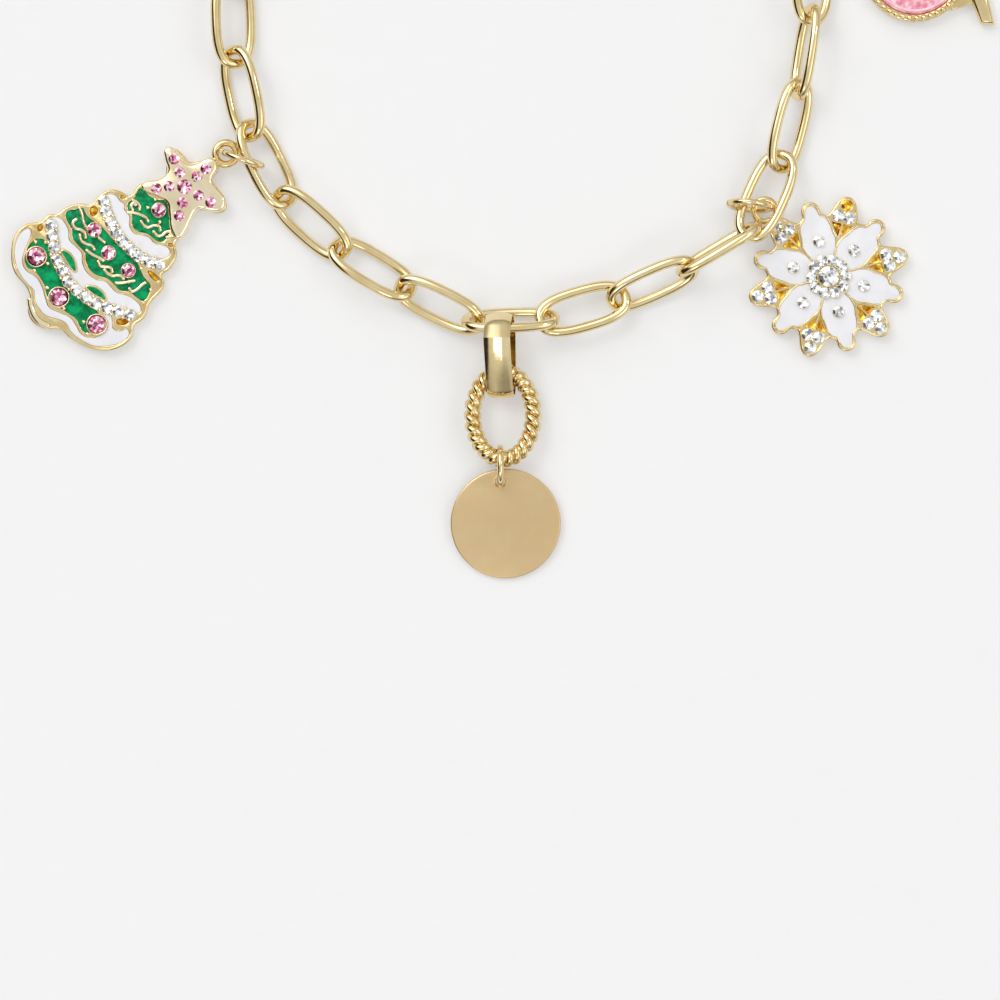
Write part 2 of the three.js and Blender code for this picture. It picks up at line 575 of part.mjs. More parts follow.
// A round enamelled medal before a plain stepped foot. In its own frame the foot points along +X.
const COIN_PLACE = { x: 51.7, y: 7.4, turn: 18 };
const COIN = { radius: 7.02, top: 1.8, pocket: 6, floor: 1 };
const COIN_LOOP = { radius: 8.5, angle: 127 };
const COLLAR = { from: 3, to: 6, halfWidth: 6.7, top: 1.4 };
const FOOT = { from: 5.85, to: 8.1, halfWidth: 10.3, tipFrom: 6.4, tipTo: 7.7, top: 1.8 };

function buildCoin() {
  const coin = new THREE.Group();
  coin.position.set(COIN_PLACE.x, COIN_PLACE.y, 0);
  coin.rotation.z = inRadians(COIN_PLACE.turn);
  const collar = new THREE.Shape([
    [COLLAR.from, -COLLAR.halfWidth], [COLLAR.to, -COLLAR.halfWidth],
    [COLLAR.to, COLLAR.halfWidth], [COLLAR.from, COLLAR.halfWidth],
  ].map(([x, y]) => new THREE.Vector2(x, y)));
  const foot = new THREE.Shape([
    [FOOT.from, -COLLAR.halfWidth], [FOOT.tipFrom, -FOOT.halfWidth], [FOOT.tipTo, -FOOT.halfWidth],
    [FOOT.to, -COLLAR.halfWidth], [FOOT.to, COLLAR.halfWidth], [FOOT.tipTo, FOOT.halfWidth],
    [FOOT.tipFrom, FOOT.halfWidth], [FOOT.from, COLLAR.halfWidth],
  ].map(([x, y]) => new THREE.Vector2(x, y)));
  const pocket = post([0, 0], COIN.pocket, COIN.floor, 3, 48);
  const medal = cut(post([0, 0], COIN.radius, 0, COIN.top, 48), [pocket]);
  const medalRoom = post([0, 0], COIN.radius - 0.3, COIN.floor, 3, 48);
  const stand = cut(joined([slab(collar, 0, COLLAR.top), slab(foot, 0, FOOT.top)]), [medalRoom]);
  const loop = wireLoop(polar(COIN_LOOP.radius, COIN_LOOP.angle), CHARM_LOOP);
  addPiece(coin, 'coin_casting', shell(joined([medal, stand, loop])), gold);
  const filling = post([0, 0], COIN.pocket - FILL_GAP, COIN.floor + FILL_GAP, COIN.top - 0.1, 48);
  addPiece(coin, 'coin_enamel', shell(filling), pinkEnamel);
  return coin;
}

necklace.add(buildCoin());

// ---------------------------------------------------------------- centred on the surface

const bounds = new THREE.Box3().setFromObject(necklace, true);
const centre = bounds.getCenter(new THREE.Vector3());
necklace.position.set(-centre.x, -centre.y, -bounds.min.z);

export default necklace;
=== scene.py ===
import math
import bpy
import numpy as np
from mathutils import Matrix, Vector


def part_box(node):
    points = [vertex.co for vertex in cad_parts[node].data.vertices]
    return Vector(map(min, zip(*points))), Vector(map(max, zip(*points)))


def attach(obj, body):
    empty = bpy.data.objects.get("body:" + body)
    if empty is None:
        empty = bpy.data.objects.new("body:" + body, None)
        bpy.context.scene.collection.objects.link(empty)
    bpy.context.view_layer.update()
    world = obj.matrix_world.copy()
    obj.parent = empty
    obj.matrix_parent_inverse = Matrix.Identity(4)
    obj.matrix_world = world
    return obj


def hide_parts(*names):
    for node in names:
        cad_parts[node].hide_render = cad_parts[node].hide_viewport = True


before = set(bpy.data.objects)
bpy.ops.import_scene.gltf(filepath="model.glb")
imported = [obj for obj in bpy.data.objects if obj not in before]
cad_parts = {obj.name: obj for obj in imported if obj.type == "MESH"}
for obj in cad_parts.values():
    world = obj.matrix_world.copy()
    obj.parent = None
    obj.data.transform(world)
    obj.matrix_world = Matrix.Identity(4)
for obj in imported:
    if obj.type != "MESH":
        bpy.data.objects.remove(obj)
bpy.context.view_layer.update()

# ---------- surface, light and camera
# The necklace lies on a frosted white sheet lit from below, in a bright soft tent with a wide glow on the
# upper left and a dark gap low on the left. Pale background paper hangs far behind, and a long lens looks
# straight down.

MM = 0.001
scene = bpy.context.scene
scene.view_settings.view_transform = "Standard"


def linear(hex_colour):
    """An sRGB hex colour as linear RGBA."""
    parts = [int(hex_colour[i:i + 2], 16) / 255 for i in (1, 3, 5)]
    return [c / 12.92 if c <= 0.04045 else ((c + 0.055) / 1.055) ** 2.4 for c in parts] + [1]


def add_node(tree, kind, settings={}, **links):
    """A shader node with its settings; its inputs are set or linked by name, or by number as i0, i1."""
    node = tree.nodes.new("ShaderNode" + kind)
    for name, value in settings.items():
        setattr(node, name, value)
    for name, value in links.items():
        numbered = name[0] == "i" and name[1:].isdigit()
        socket = node.inputs[int(name[1:])] if numbered else node.inputs[name.replace("_", " ")]
        if isinstance(value, bpy.types.NodeSocket):
            tree.links.new(value, socket)
        else:
            socket.default_value = value
    return node


def ramp_of(node, *stops):
    """Sets a colour ramp's stops, each a place and a colour."""
    elements = node.color_ramp.elements
    while len(elements) < len(stops):
        elements.new(1.0)
    for element, (place, colour) in zip(elements, stops):
        element.position = place
        element.color = linear(colour)
    return node.outputs["Color"]


def new_material(name, **inputs):
    """A material, its node tree and its shader, whose plain inputs are set by name."""
    material = bpy.data.materials.new(name)
    material.use_nodes = True
    shader = material.node_tree.nodes["Principled BSDF"]
    for label, value in inputs.items():
        shader.inputs[label.replace("_", " ")].default_value = value
    return material, material.node_tree, shader


def clouded(tree, cloud_mm, *stops, detail=3.0):
    """A colour that drifts between the tints of its stops, in soft clouds of about that size."""
    place = add_node(tree, "TexCoord").outputs["Object"]
    clouds = add_node(tree, "TexNoise", Vector=place, Scale=1 / (cloud_mm * MM), Detail=detail)
    return ramp_of(add_node(tree, "ValToRGB", Fac=clouds.outputs["Fac"]), *stops)


def added(operator, name, **sizes):
    """A new primitive, with nothing else selected."""
    bpy.ops.object.select_all(action="DESELECT")
    operator(**sizes)
    bpy.context.object.name = name
    return bpy.context.object


# Frosted white acrylic on a light box: part of its brightness comes through it, so shadows stay faint. Its
# frosting is too fine to show, and is drawn as a faint mottle.
acrylic, acrylic_tree, acrylic_shader = new_material(
    "backlit_frosted_white_acrylic", Roughness=0.9, Specular_IOR_Level=0.05,
    Emission_Color=linear("#fefeff"), Emission_Strength=0.31)
frosting = clouded(acrylic_tree, 4.4, (0.3, "#c5c5c6"), (0.7, "#c7c7c8"), detail=2.0)
acrylic_tree.links.new(frosting, acrylic_shader.inputs["Base Color"])
floor = added(bpy.ops.mesh.primitive_plane_add, "floor", size=4)
floor.data.materials.append(acrylic)

# Pale matt background paper hangs in a wide ring behind everything. Only the view meets it: the metal goes
# on mirroring the tent.
paper, paper_tree, paper_shader = new_material(
    "pale_matt_background_paper", Base_Color=linear("#101010"), Roughness=1.0, Specular_IOR_Level=0.0,
    Emission_Strength=0.9)
paper_shade = clouded(paper_tree, 6000, (0.3, "#f6f6f6"), (0.7, "#f9f9f9"), detail=2.0)
paper_tree.links.new(paper_shade, paper_shader.inputs["Emission Color"])
backdrop = added(bpy.ops.mesh.primitive_cylinder_add, "backdrop", vertices=64, radius=6, depth=10,
                 end_fill_type="NOTHING")
bpy.ops.object.shade_smooth()
backdrop.data.materials.append(paper)
backdrop.visible_diffuse = False
backdrop.visible_glossy = False
backdrop.visible_transmission = False
backdrop.visible_shadow = False

# The tent is a sky of warm white cloth, dimmer towards its foot.
world = bpy.data.worlds.new("tent")
scene.world = world
world.use_nodes = True
sky = world.node_tree
direction = add_node(sky, "TexCoord").outputs["Generated"]
upwards = add_node(sky, "SeparateXYZ", Vector=direction).outputs["Z"]
tent = ramp_of(add_node(sky, "ValToRGB", Fac=upwards),
               (0.0, "#a09e9a"), (0.25, "#c8c6c2"), (0.6, "#ededeb"), (0.95, "#e9e9e7"), (1.0, "#dededc"))


def glow(towards, edge, core, power):
    """White light added to the tent round one direction, fading from its core to its edge, in degrees."""
    facing = add_node(sky, "VectorMath", {"operation": "DOT_PRODUCT"}, i0=direction,
                      i1=Vector(towards).normalized()).outputs["Value"]
    share = add_node(sky, "MapRange", {"interpolation_type": "SMOOTHSTEP"}, Value=facing,
                     From_Min=math.cos(math.radians(edge)), From_Max=math.cos(math.radians(core)),
                     To_Min=0.0, To_Max=power).outputs["Result"]
    return add_node(sky, "VectorMath", {"operation": "SCALE"}, i0=(1, 1, 1), Scale=share).outputs["Vector"]


# Two glows, and two gaps in the cloth through which a dark brown room shows.
for towards, edge, core, power in (
    ((-0.45, 0.55, 0.72), 36, 12, 1.5),
    ((0.7, -0.25, 0.66), 24, 8, 0.9),
    ((-1.0, -0.2, 0.32), 40, 20, -1.2),
    ((0.15, -1.0, 0.3), 26, 12, -0.35),
):
    tent = add_node(sky, "VectorMath", {"operation": "ADD"}, i0=tent,
                    i1=glow(towards, edge, core, power)).outputs["Vector"]
tent = add_node(sky, "VectorMath", {"operation": "MAXIMUM"}, i0=tent,
                i1=linear("#3a3226")[:3]).outputs["Vector"]
sky.links.new(tent, sky.nodes["Background"].inputs["Color"])
sky.nodes["Background"].inputs["Strength"].default_value = 0.96

for name, place, size, power in (
    ("soft_box_upper_left", (-0.42, 0.38, 0.8), 0.2, 0.85),
    ("soft_box_right", (0.55, 0.2, 0.7), 0.12, 0.35),
    ("soft_box_near", (-0.13, -0.69, 0.67), 0.27, 0.5),
):
    lamp = bpy.data.lights.new(name, "AREA")
    lamp.size = size
    lamp.energy = power
    holder = bpy.data.objects.new(name, lamp)
    scene.collection.objects.link(holder)
    holder.location = place
    holder.rotation_euler = (-Vector(place)).to_track_quat("-Z", "Y").to_euler()

disc_low, disc_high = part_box("disc")
LENS_DISTANCE = 0.8                   # from the height at which the width is taken
VIEW_HEIGHT = 0.002
VIEW_WIDTH = 0.13245
VIEW_OFFSET = Vector((-0.00075, 0.0031, 0))    # of the view's middle from the disc's
SENSOR_WIDTH = 36
camera_data = bpy.data.cameras.new("camera")
camera_data.sensor_width = SENSOR_WIDTH
camera_data.lens = SENSOR_WIDTH * LENS_DISTANCE / VIEW_WIDTH
camera_data.clip_start = 0.01
camera = bpy.data.objects.new("camera", camera_data)
scene.collection.objects.link(camera)
camera.location = ((disc_low + disc_high) / 2 + VIEW_OFFSET).xy.to_3d()
camera.location.z = VIEW_HEIGHT + LENS_DISTANCE
scene.camera = camera

# ---------- chain links
# Oval paperclip links of round brass wire, bent, soldered and plated in pale gold. Each is one closed
# tube, laid where the plain link of the frame lies.

WIRE_LINK = {"length": 13.1, "width": 6.3, "wire": 1.34}
OVAL_POWER = 2.7                      # of the links' superellipse: 2 is an ellipse, more is boxier


def grained(tree, shader, grain_mm, detail, smooth, rough, ripple, ripple_mm):
    """Gives a shader a grain of that size: its roughness wanders between two values, its face is rippled."""
    place = add_node(tree, "TexCoord").outputs["Object"]
    grain = add_node(tree, "TexNoise", Vector=place, Scale=1 / (grain_mm * MM), Detail=detail)
    gloss = add_node(tree, "MapRange", Value=grain.outputs["Fac"], From_Min=0.3, From_Max=0.7,
                     To_Min=smooth, To_Max=rough)
    tree.links.new(gloss.outputs["Result"], shader.inputs["Roughness"])
    face = add_node(tree, "Bump", Strength=ripple, Distance=ripple_mm * MM, Height=grain.outputs["Fac"])
    tree.links.new(face.outputs["Normal"], shader.inputs["Normal"])


def gold_plating(name, low, high, roughness, grain_mm, ripple, cloud_mm=3, spread=0.35):
    """A plated gold metal: its colour wanders between two tints, its gloss and surface with a fine grain."""
    material, tree, shader = new_material(name, Metallic=1.0)
    tree.links.new(clouded(tree, cloud_mm, (0.35, low), (0.65, high)), shader.inputs["Base Color"])
    grained(tree, shader, grain_mm, 4.0, roughness * (1 - spread), roughness * (1 + spread), ripple, 0.05)
    return material


# Electroplated gold over polished brass: mirror bright and a little uneven in colour. Its fine handling
# marks are drawn coarse enough to show.
polished_gold = gold_plating("polished_pale_gold_plating", "#e8d19c", "#f1deb0", 0.1, 0.7, 0.1)


def in_place_of(node):
    """The matrix that takes a piece made flat at the origin, longest along X, to where a node lies."""
    points = np.unique(np.round([v.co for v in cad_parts[node].data.vertices], 7), axis=0)
    axes = np.linalg.svd(points - points.mean(0), full_matrices=False)[2]
    axes[2] = np.cross(axes[0], axes[1])
    return Matrix.Translation(points.mean(0)) @ Matrix(axes.tolist()).transposed().to_4x4()


def line(name, points, cyclic, smooth=False):
    """A curve object through points in mm."""
    curve = bpy.data.curves.new(name, "CURVE")
    curve.dimensions = "3D"
    spline = curve.splines.new("BEZIER" if smooth else "POLY")
    knots = spline.bezier_points if smooth else spline.points
    knots.add(len(points) - 1)
    for knot, point in zip(knots, points):
        place = Vector((*point, 0)[:3]) * MM
        knot.co = place if smooth else (*place, 1)
        if smooth:
            knot.handle_left_type = knot.handle_right_type = "AUTO"
    spline.use_cyclic_u = cyclic
    wire = bpy.data.objects.new(name, curve)
    scene.collection.objects.link(wire)
    return wire


def close_seams():
    """Merges the doubled points of the mesh in edit mode, turns its faces outwards and leaves edit mode."""
    bpy.ops.mesh.select_all(action="SELECT")
    bpy.ops.mesh.remove_doubles(threshold=1e-6)
    bpy.ops.mesh.normals_make_consistent(inside=False)
    bpy.ops.object.mode_set(mode="OBJECT")


def pick(*pieces):
    """Selects these pieces only, the first of them as the active one."""
    bpy.ops.object.select_all(action="DESELECT")
    for piece in pieces:
        piece.select_set(True)
    bpy.context.view_layer.objects.active = pieces[0]


def as_mesh(piece):
    """A curve turned into a mesh with merged seams and outward faces."""
    pick(piece)
    bpy.ops.object.convert(target="MESH")
    bpy.ops.object.mode_set(mode="EDIT")
    close_seams()
    return bpy.context.object


def round_wire(name, points, radius, steps, rounds, cyclic=True):
    """A round wire along a smooth line through points in mm, closed at its ends if it has any."""
    wire = line(name, points, cyclic, smooth=True)
    wire.data.resolution_u = steps
    wire.data.bevel_depth = radius * MM
    wire.data.bevel_resolution = rounds
    wire.data.use_fill_caps = not cyclic
    wire = as_mesh(wire)
    bpy.ops.object.shade_smooth()
    return wire


def oval_link(name, length, width, wire, steps=32):
    """A closed wire link lying flat along X, a long oval whose rails bow out between its round ends."""
    path = []
    for i in range(steps):
        angle = 2 * math.pi * i / steps
        along = math.copysign(abs(math.cos(angle)) ** (2 / OVAL_POWER), math.cos(angle))
        across = math.copysign(abs(math.sin(angle)) ** (2 / OVAL_POWER), math.sin(angle))
        path.append(((length - wire) / 2 * along, (width - wire) / 2 * across))
    return round_wire(name, path, wire / 2, steps=2, rounds=7)


def wire_link(name, length, width, wire, around=20, steps=14):
    """A closed link lying flat along X: a ring of wire spun round each end and drawn along the rails."""
    rail = (length - width) / 2 * MM
    bend = (width - wire) / 2 * MM
    link = added(bpy.ops.mesh.primitive_circle_add, name, vertices=around, radius=wire / 2 * MM,
                 location=(rail, -bend, 0), rotation=(0, math.pi / 2, 0))
    bpy.ops.object.transform_apply()
    bpy.ops.object.mode_set(mode="EDIT")
    bpy.ops.mesh.select_all(action="SELECT")
    for side in (1, -1):
        bpy.ops.mesh.spin(steps=steps, angle=-math.pi, center=(side * rail, 0, 0), axis=(0, 0, 1))
        bpy.ops.mesh.extrude_region_move(TRANSFORM_OT_translate={"value": (-2 * side * rail, 0, 0)})
    close_seams()
    bpy.ops.object.shade_smooth()
    return link


def copy_of(piece, name, place):
    """A copy with its own mesh, moved by a matrix."""
    copy = piece.copy()
    copy.data = piece.data.copy()
    copy.name = name
    scene.collection.objects.link(copy)
    copy.data.transform(place)
    return copy


def finish_piece(piece, material, slot, *nodes, place=None):
    """Moves a piece to its place, gives it its material and the root body, and hides the nodes it stands for.
    Its slot is not used.
    """
    if place:
        piece.data.transform(place)
    piece.data.materials.clear()
    piece.data.materials.append(material)
    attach(piece, "root")
    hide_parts(*nodes)


first_link = oval_link("link_pattern", **WIRE_LINK)
for node in sorted(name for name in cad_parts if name.startswith("link_")):
    link = copy_of(first_link, node + "_wire", in_place_of(node))
    finish_piece(link, polished_gold, "gold", node)
bpy.data.objects.remove(first_link)

# ---------- clasp and its ring
# The necklace closes with a link-shaped clasp whose one rail is a hinged gate, and a plain round ring.
# Two collars and a thumb knob are soldered to the gate.

CLASP_WIRE = {"length": 12.9, "width": 7.0, "wire": 1.6}
CLASP_RING = {"length": 6.2, "width": 6.2, "wire": 1.2}
GATE = {"half_length": 2.4, "collar_radius": 0.96, "collar_length": 0.9}
KNOB = {"radius": 0.4, "length": 1.0, "along": 1.2, "out": 1.1}


def round_edges(piece, width, segments):
    """Rounds the edges of a piece."""
    rounding = piece.modifiers.new("rounding", "BEVEL")
    rounding.width = width
    rounding.segments = segments
    bpy.ops.object.modifier_apply(modifier=rounding.name)


def collar(radius, length, place, turn=(0, math.pi / 2, 0)):
    """A short sleeve along X with rounded edges."""
    sleeve = added(bpy.ops.mesh.primitive_cylinder_add, "collar", vertices=24, radius=radius * MM,
                   depth=length * MM, location=Vector(place) * MM, rotation=turn)
    bpy.ops.object.transform_apply()
    round_edges(sleeve, 0.2 * MM, 3)
    bpy.ops.object.shade_smooth()
    return sleeve


def join(pieces, name):
    """Several pieces as one mesh."""
    pick(*pieces)
    bpy.ops.object.join()
    whole = bpy.context.object
    whole.name = name
    return whole


gate_side = (CLASP_WIRE["width"] - CLASP_WIRE["wire"]) / 2
gate_ends = [collar(GATE["collar_radius"], GATE["collar_length"], (side * GATE["half_length"], gate_side, 0))
             for side in (1, -1)]
knob = collar(KNOB["radius"], KNOB["length"], (KNOB["along"], gate_side + KNOB["out"], 0),
              turn=(math.pi / 2, 0, 0))
clasp = join([wire_link("clasp_frame", **CLASP_WIRE), *gate_ends, knob], "clasp_with_gate")
finish_piece(clasp, polished_gold, "gold", "clasp", place=in_place_of("clasp"))
clasp_ring = wire_link("clasp_ring_wire", **CLASP_RING)
finish_piece(clasp_ring, polished_gold, "gold", "clasp_ring", place=in_place_of("clasp_ring"))

# ---------- jump rings
# Round rings of thin wire, bent open and shut with pliers, so that each has a hair-thin cut. They hang the
# charms on the links and the disc on the rope ring.


def cut_ring(node, radius, wire, cut_turn, gap=3.0, around=14, steps=46):
    """A wire ring in the place of a node, with a cut, its width and its turn about the axis in degrees."""
    ring = added(bpy.ops.mesh.primitive_circle_add, node + "_wire", vertices=around, radius=wire / 2 * MM,
                 fill_type="NGON", location=(radius * MM, 0, 0), rotation=(math.pi / 2, 0, 0))
    bpy.ops.object.transform_apply()
    bpy.ops.object.mode_set(mode="EDIT")
    bpy.ops.mesh.select_all(action="SELECT")
    bpy.ops.mesh.spin(steps=steps, angle=-math.radians(360 - gap), center=(0, 0, 0), axis=(0, 0, 1))
    close_seams()
    bpy.ops.object.shade_smooth_by_angle(angle=math.radians(40))
    turn = Matrix.Rotation(math.radians(cut_turn), 4, "Z")
    finish_piece(ring, polished_gold, "gold", node, place=in_place_of(node) @ turn)


cut_ring("tree_jump_ring", radius=2.77, wire=0.87, cut_turn=200)
cut_ring("snowflake_jump_ring", radius=2.77, wire=0.87, cut_turn=160)
cut_ring("coin_jump_ring", radius=3.5, wire=0.87, cut_turn=30)
cut_ring("disc_ring", radius=2.45, wire=0.86, cut_turn=75)

# ---------- bail
# A strap of gold strip is folded into a drop-shaped loop over one link, wide above and narrow where the
# rope ring hangs in it. Its front is bowed and ends above in a crease, and its outside is domed and polished.

BAIL_DROP = {"upper": 3.45, "lower": 2.15, "centres": 6.0, "fold": 1.9, "bow": 0.22}
STRAP = {"thickness": 0.55, "width": 3.5, "dome": 0.36, "dome_power": 2.6}
DOME_STEPS = 8                        # on each side of the strap's middle
BAIL_PLACE = {"at": (-0.385, -65.227), "height": 4.183, "heading": -88.0, "slope": 15.7, "lean": 7.0}


def pose(at, height=0.0, heading=0.0, slope=0.0, lean=0.0):
    """The matrix for a piece turned by its lean, slope and heading and then moved, in mm."""
    turn = Matrix.Rotation(math.radians(heading), 4, "Z")
    turn = turn @ Matrix.Rotation(math.radians(slope), 4, "Y")
    turn = turn @ Matrix.Rotation(math.radians(lean), 4, "X")
    return Matrix.Translation(Vector((*at, height)) * MM) @ turn


def drop_path(upper, lower, centres, fold, bow, steps=28):
    """Points round a drop: a wide arc round the origin, a narrow one further along X, and a bowed front
    that runs past the wide arc to a fold."""
    leaving = math.acos((upper - lower) / centres)
    shoulder = leaving + 2 * math.atan(fold / upper)
    wide = [shoulder + i / steps * (2 * math.pi - leaving - shoulder) for i in range(steps + 1)]
    narrow = [-leaving + i / steps * 2 * leaving for i in range(steps + 1)]
    points = [Vector((upper * math.cos(a), upper * math.sin(a), 0)) for a in wide]
    points += [Vector((centres + lower * math.cos(a), lower * math.sin(a), 0)) for a in narrow]
    out = Vector((math.cos(leaving), math.sin(leaving), 0))
    crease = out * upper - Vector((out.y, -out.x, 0)) * fold
    front = [points[-1].lerp(crease, share) + out * bow * 4 * share * (1 - share)
             for share in (0.15, 0.3, 0.45, 0.6, 0.75, 0.88, 0.96)]
    return [crease.lerp(points[0], 0.12), *points, *front, crease]


half_width = STRAP["width"] / 2
profile_points = [(STRAP["thickness"], -half_width), (STRAP["thickness"], half_width)]
for i in range(2 * DOME_STEPS + 1):
    share = 1 - i / DOME_STEPS
    profile_points.append((STRAP["dome"] * abs(share) ** STRAP["dome_power"], share * half_width))
strap_profile = line("bail_profile", profile_points, cyclic=True)
bail_path = line("bail_strap", drop_path(**BAIL_DROP), cyclic=True)
bail_path.data.dimensions = "2D"
bail_path.data.bevel_mode = "OBJECT"
bail_path.data.bevel_object = strap_profile
bail = as_mesh(bail_path)
bpy.data.objects.remove(strap_profile)
bail.select_set(True)
bpy.ops.object.shade_smooth_by_angle(angle=math.radians(40))
on_edge = Matrix.Rotation(math.pi / 2, 4, "X")
finish_piece(bail, polished_gold, "gold", "bail", place=pose(**BAIL_PLACE) @ on_edge)

# ---------- rope ring
# An oval ring cast as a thick two-strand rope round a plain core, then plated. Its crests are brightly
# polished, and the grooves between the strands are deeper gold.

ROPE = {"half_width": 4.02, "half_height": 5.78, "strand": 0.56, "offset": 0.6, "strands": 2, "turns": 13,
        "core": 0.5}
ROPE_PLACE = {"at": (0.03, -75.367), "height": 2.57, "lean": -2.5}


def strand_path(number, offset, steps=306):
    """One strand of the rope: points that wind round the oval as they go along it."""
    points = []
    for i in range(steps):
        along = 2 * math.pi * i / steps
        round_rope = ROPE["turns"] * along + 2 * math.pi * number / ROPE["strands"]
        x, y = math.cos(along), math.sin(along)
        out = Vector((x / ROPE["half_width"], y / ROPE["half_height"])).normalized()
        reach = offset * math.cos(round_rope)
        points.append((ROPE["half_width"] * x + out.x * reach, ROPE["half_height"] * y + out.y * reach,
                       offset * math.sin(round_rope)))
    return points


strands = []
for number in range(ROPE["strands"] + 1):
    core = number == ROPE["strands"]
    strand = line(f"rope_strand_{number}", strand_path(number, 0 if core else ROPE["offset"]), cyclic=True)
    strand.data.bevel_depth = (ROPE["core"] if core else ROPE["strand"]) * MM
    strand.data.bevel_resolution = 3
    strands.append(as_mesh(strand))
rope = join(strands, "rope_ring_strands")
bpy.ops.object.shade_smooth()
# Gold plating over cast brass: polished like the wire, with a little of the cast skin's unevenness left.
cast_gold = gold_plating("polished_cast_gold_plating", "#e3c88e", "#f1deb0", 0.13, 0.5, 0.2)
finish_piece(rope, cast_gold, "gold", "rope_ring", place=pose(**ROPE_PLACE))

# ---------- disc
# A plain round tag punched from sheet, satin finished on its faces, with its edge and its hole rounded
# in a tumbler.

DISC = {"radius": 7.3, "thickness": 0.7, "rounding": 0.2}
DISC_HOLE = {"radius": 0.68, "middle": (-0.7, 5.62), "count": 12}
DISC_PLACE = {"at": (0.395, -89.667), "height": 0.985, "lean": 5.0}


def round_outline(radius, middle=(0, 0), count=24):
    """A number of points in mm on a circle, for a smooth outline."""
    turns = [2 * math.pi * i / count for i in range(count)]
    return [(middle[0] + radius * math.cos(a), middle[1] + radius * math.sin(a)) for a in turns]


def flat_piece(name, outlines, bottom, top, rounding, inset=0.0, rounds=2, corners=False):
    """A flat shape with holes, from bottom to top, with rounded edges; in mm. Its outlines are smooth, apart
    from those of three points and those that keep their corners."""
    curve = bpy.data.curves.new(name, "CURVE")
    curve.dimensions = "2D"
    curve.fill_mode = "BOTH"
    curve.resolution_u = 5
    for points in outlines:
        spline = curve.splines.new("BEZIER")
        spline.bezier_points.add(len(points) - 1)
        handle = "VECTOR" if corners or len(points) == 3 else "AUTO"
        for knot, (x, y) in zip(spline.bezier_points, points):
            knot.co = (x * MM, y * MM, 0)
            knot.handle_left_type = knot.handle_right_type = handle
        spline.use_cyclic_u = True
    curve.extrude = ((top - bottom) / 2 - rounding) * MM
    curve.bevel_depth = rounding * MM
    curve.bevel_resolution = rounds
    curve.offset = -(rounding + inset) * MM
    shape = bpy.data.objects.new(name, curve)
    scene.collection.objects.link(shape)
    piece = as_mesh(shape)
    piece.data.transform(Matrix.Translation((0, 0, (bottom + top) / 2 * MM)))
    bpy.ops.object.shade_smooth_by_angle(angle=math.radians(35))
    return piece


half = DISC["thickness"] / 2
disc = flat_piece("disc_sheet", [round_outline(DISC["radius"]), round_outline(**DISC_HOLE)], -half, half,
                  DISC["rounding"], rounds=3)
# Gold plating over a finely blasted face: one even soft sheen, without mirror reflections.
satin_gold = gold_plating("satin_pale_gold_plating", "#dbc092", "#dfc598", 0.36, 0.6, 0.0, spread=0.04)
finish_piece(disc, satin_gold, "satin_gold", "disc", place=pose(**DISC_PLACE))

# ---------- tree charm: the casting
# A fir tree cast in brass and plated: a base plate, walls between the enamel cells, hollows left bare
# where one lobe of snow curls over the next, and a top loop. Measured in mm from the middle of that loop.

TREE_PLACE = {"at": (-36.655, -40.667), "heading": -45.0}
PLATE_TOP = 0.9
WALL_TOP = 1.6
TREE_LOOP = {"length": 3.9, "width": 3.9, "wire": 1.0}
LOOP_HEIGHT = 1.65
RIM = {"radius": 0.2, "height": 1.45}
TREE_OUTLINE = [
    (-0.8, -1.6), (-2.1, -3.7), (-2.7, -4.2), (-4.1, -4.1), (-5.4, -4.4), (-5.8, -5.2), (-4.3, -6.9),
    (-3.6, -8.1), (-4.3, -9.6), (-5.2, -10.9), (-5.1, -13), (-6.1, -13.3), (-7.3, -14), (-7.9, -15.2),
    (-7.95, -16.3), (-7.85, -17.3), (-9.1, -18.4), (-10, -20.2), (-10.2, -21.5), (-10.9, -22.3), (-11, -23.7),
    (-12.1, -25.3), (-12.2, -27.3), (-10.9, -29.4), (-8.9, -30.9), (-6, -31.3), (-4.9, -31.9),
    (-3.9, -33.3), (-2.3, -33.9), (-0.6, -33.4), (0.9, -32), (2.7, -31.9), (5, -31.2), (7, -29.9),
    (8.2, -28), (8.3, -26), (7.5, -24.7), (7.7, -23.1), (6.9, -21.3), (6.4, -18), (5.4, -17.6), (5.5, -16),
    (4.9, -14.2), (3.6, -13.1), (3.7, -11.6), (2.7, -9.4), (2.5, -8.2), (3.5, -7.2), (5.1, -5.9),
    (5, -4.9), (2.8, -4.1), (1.2, -3.7), (0.6, -2),
]
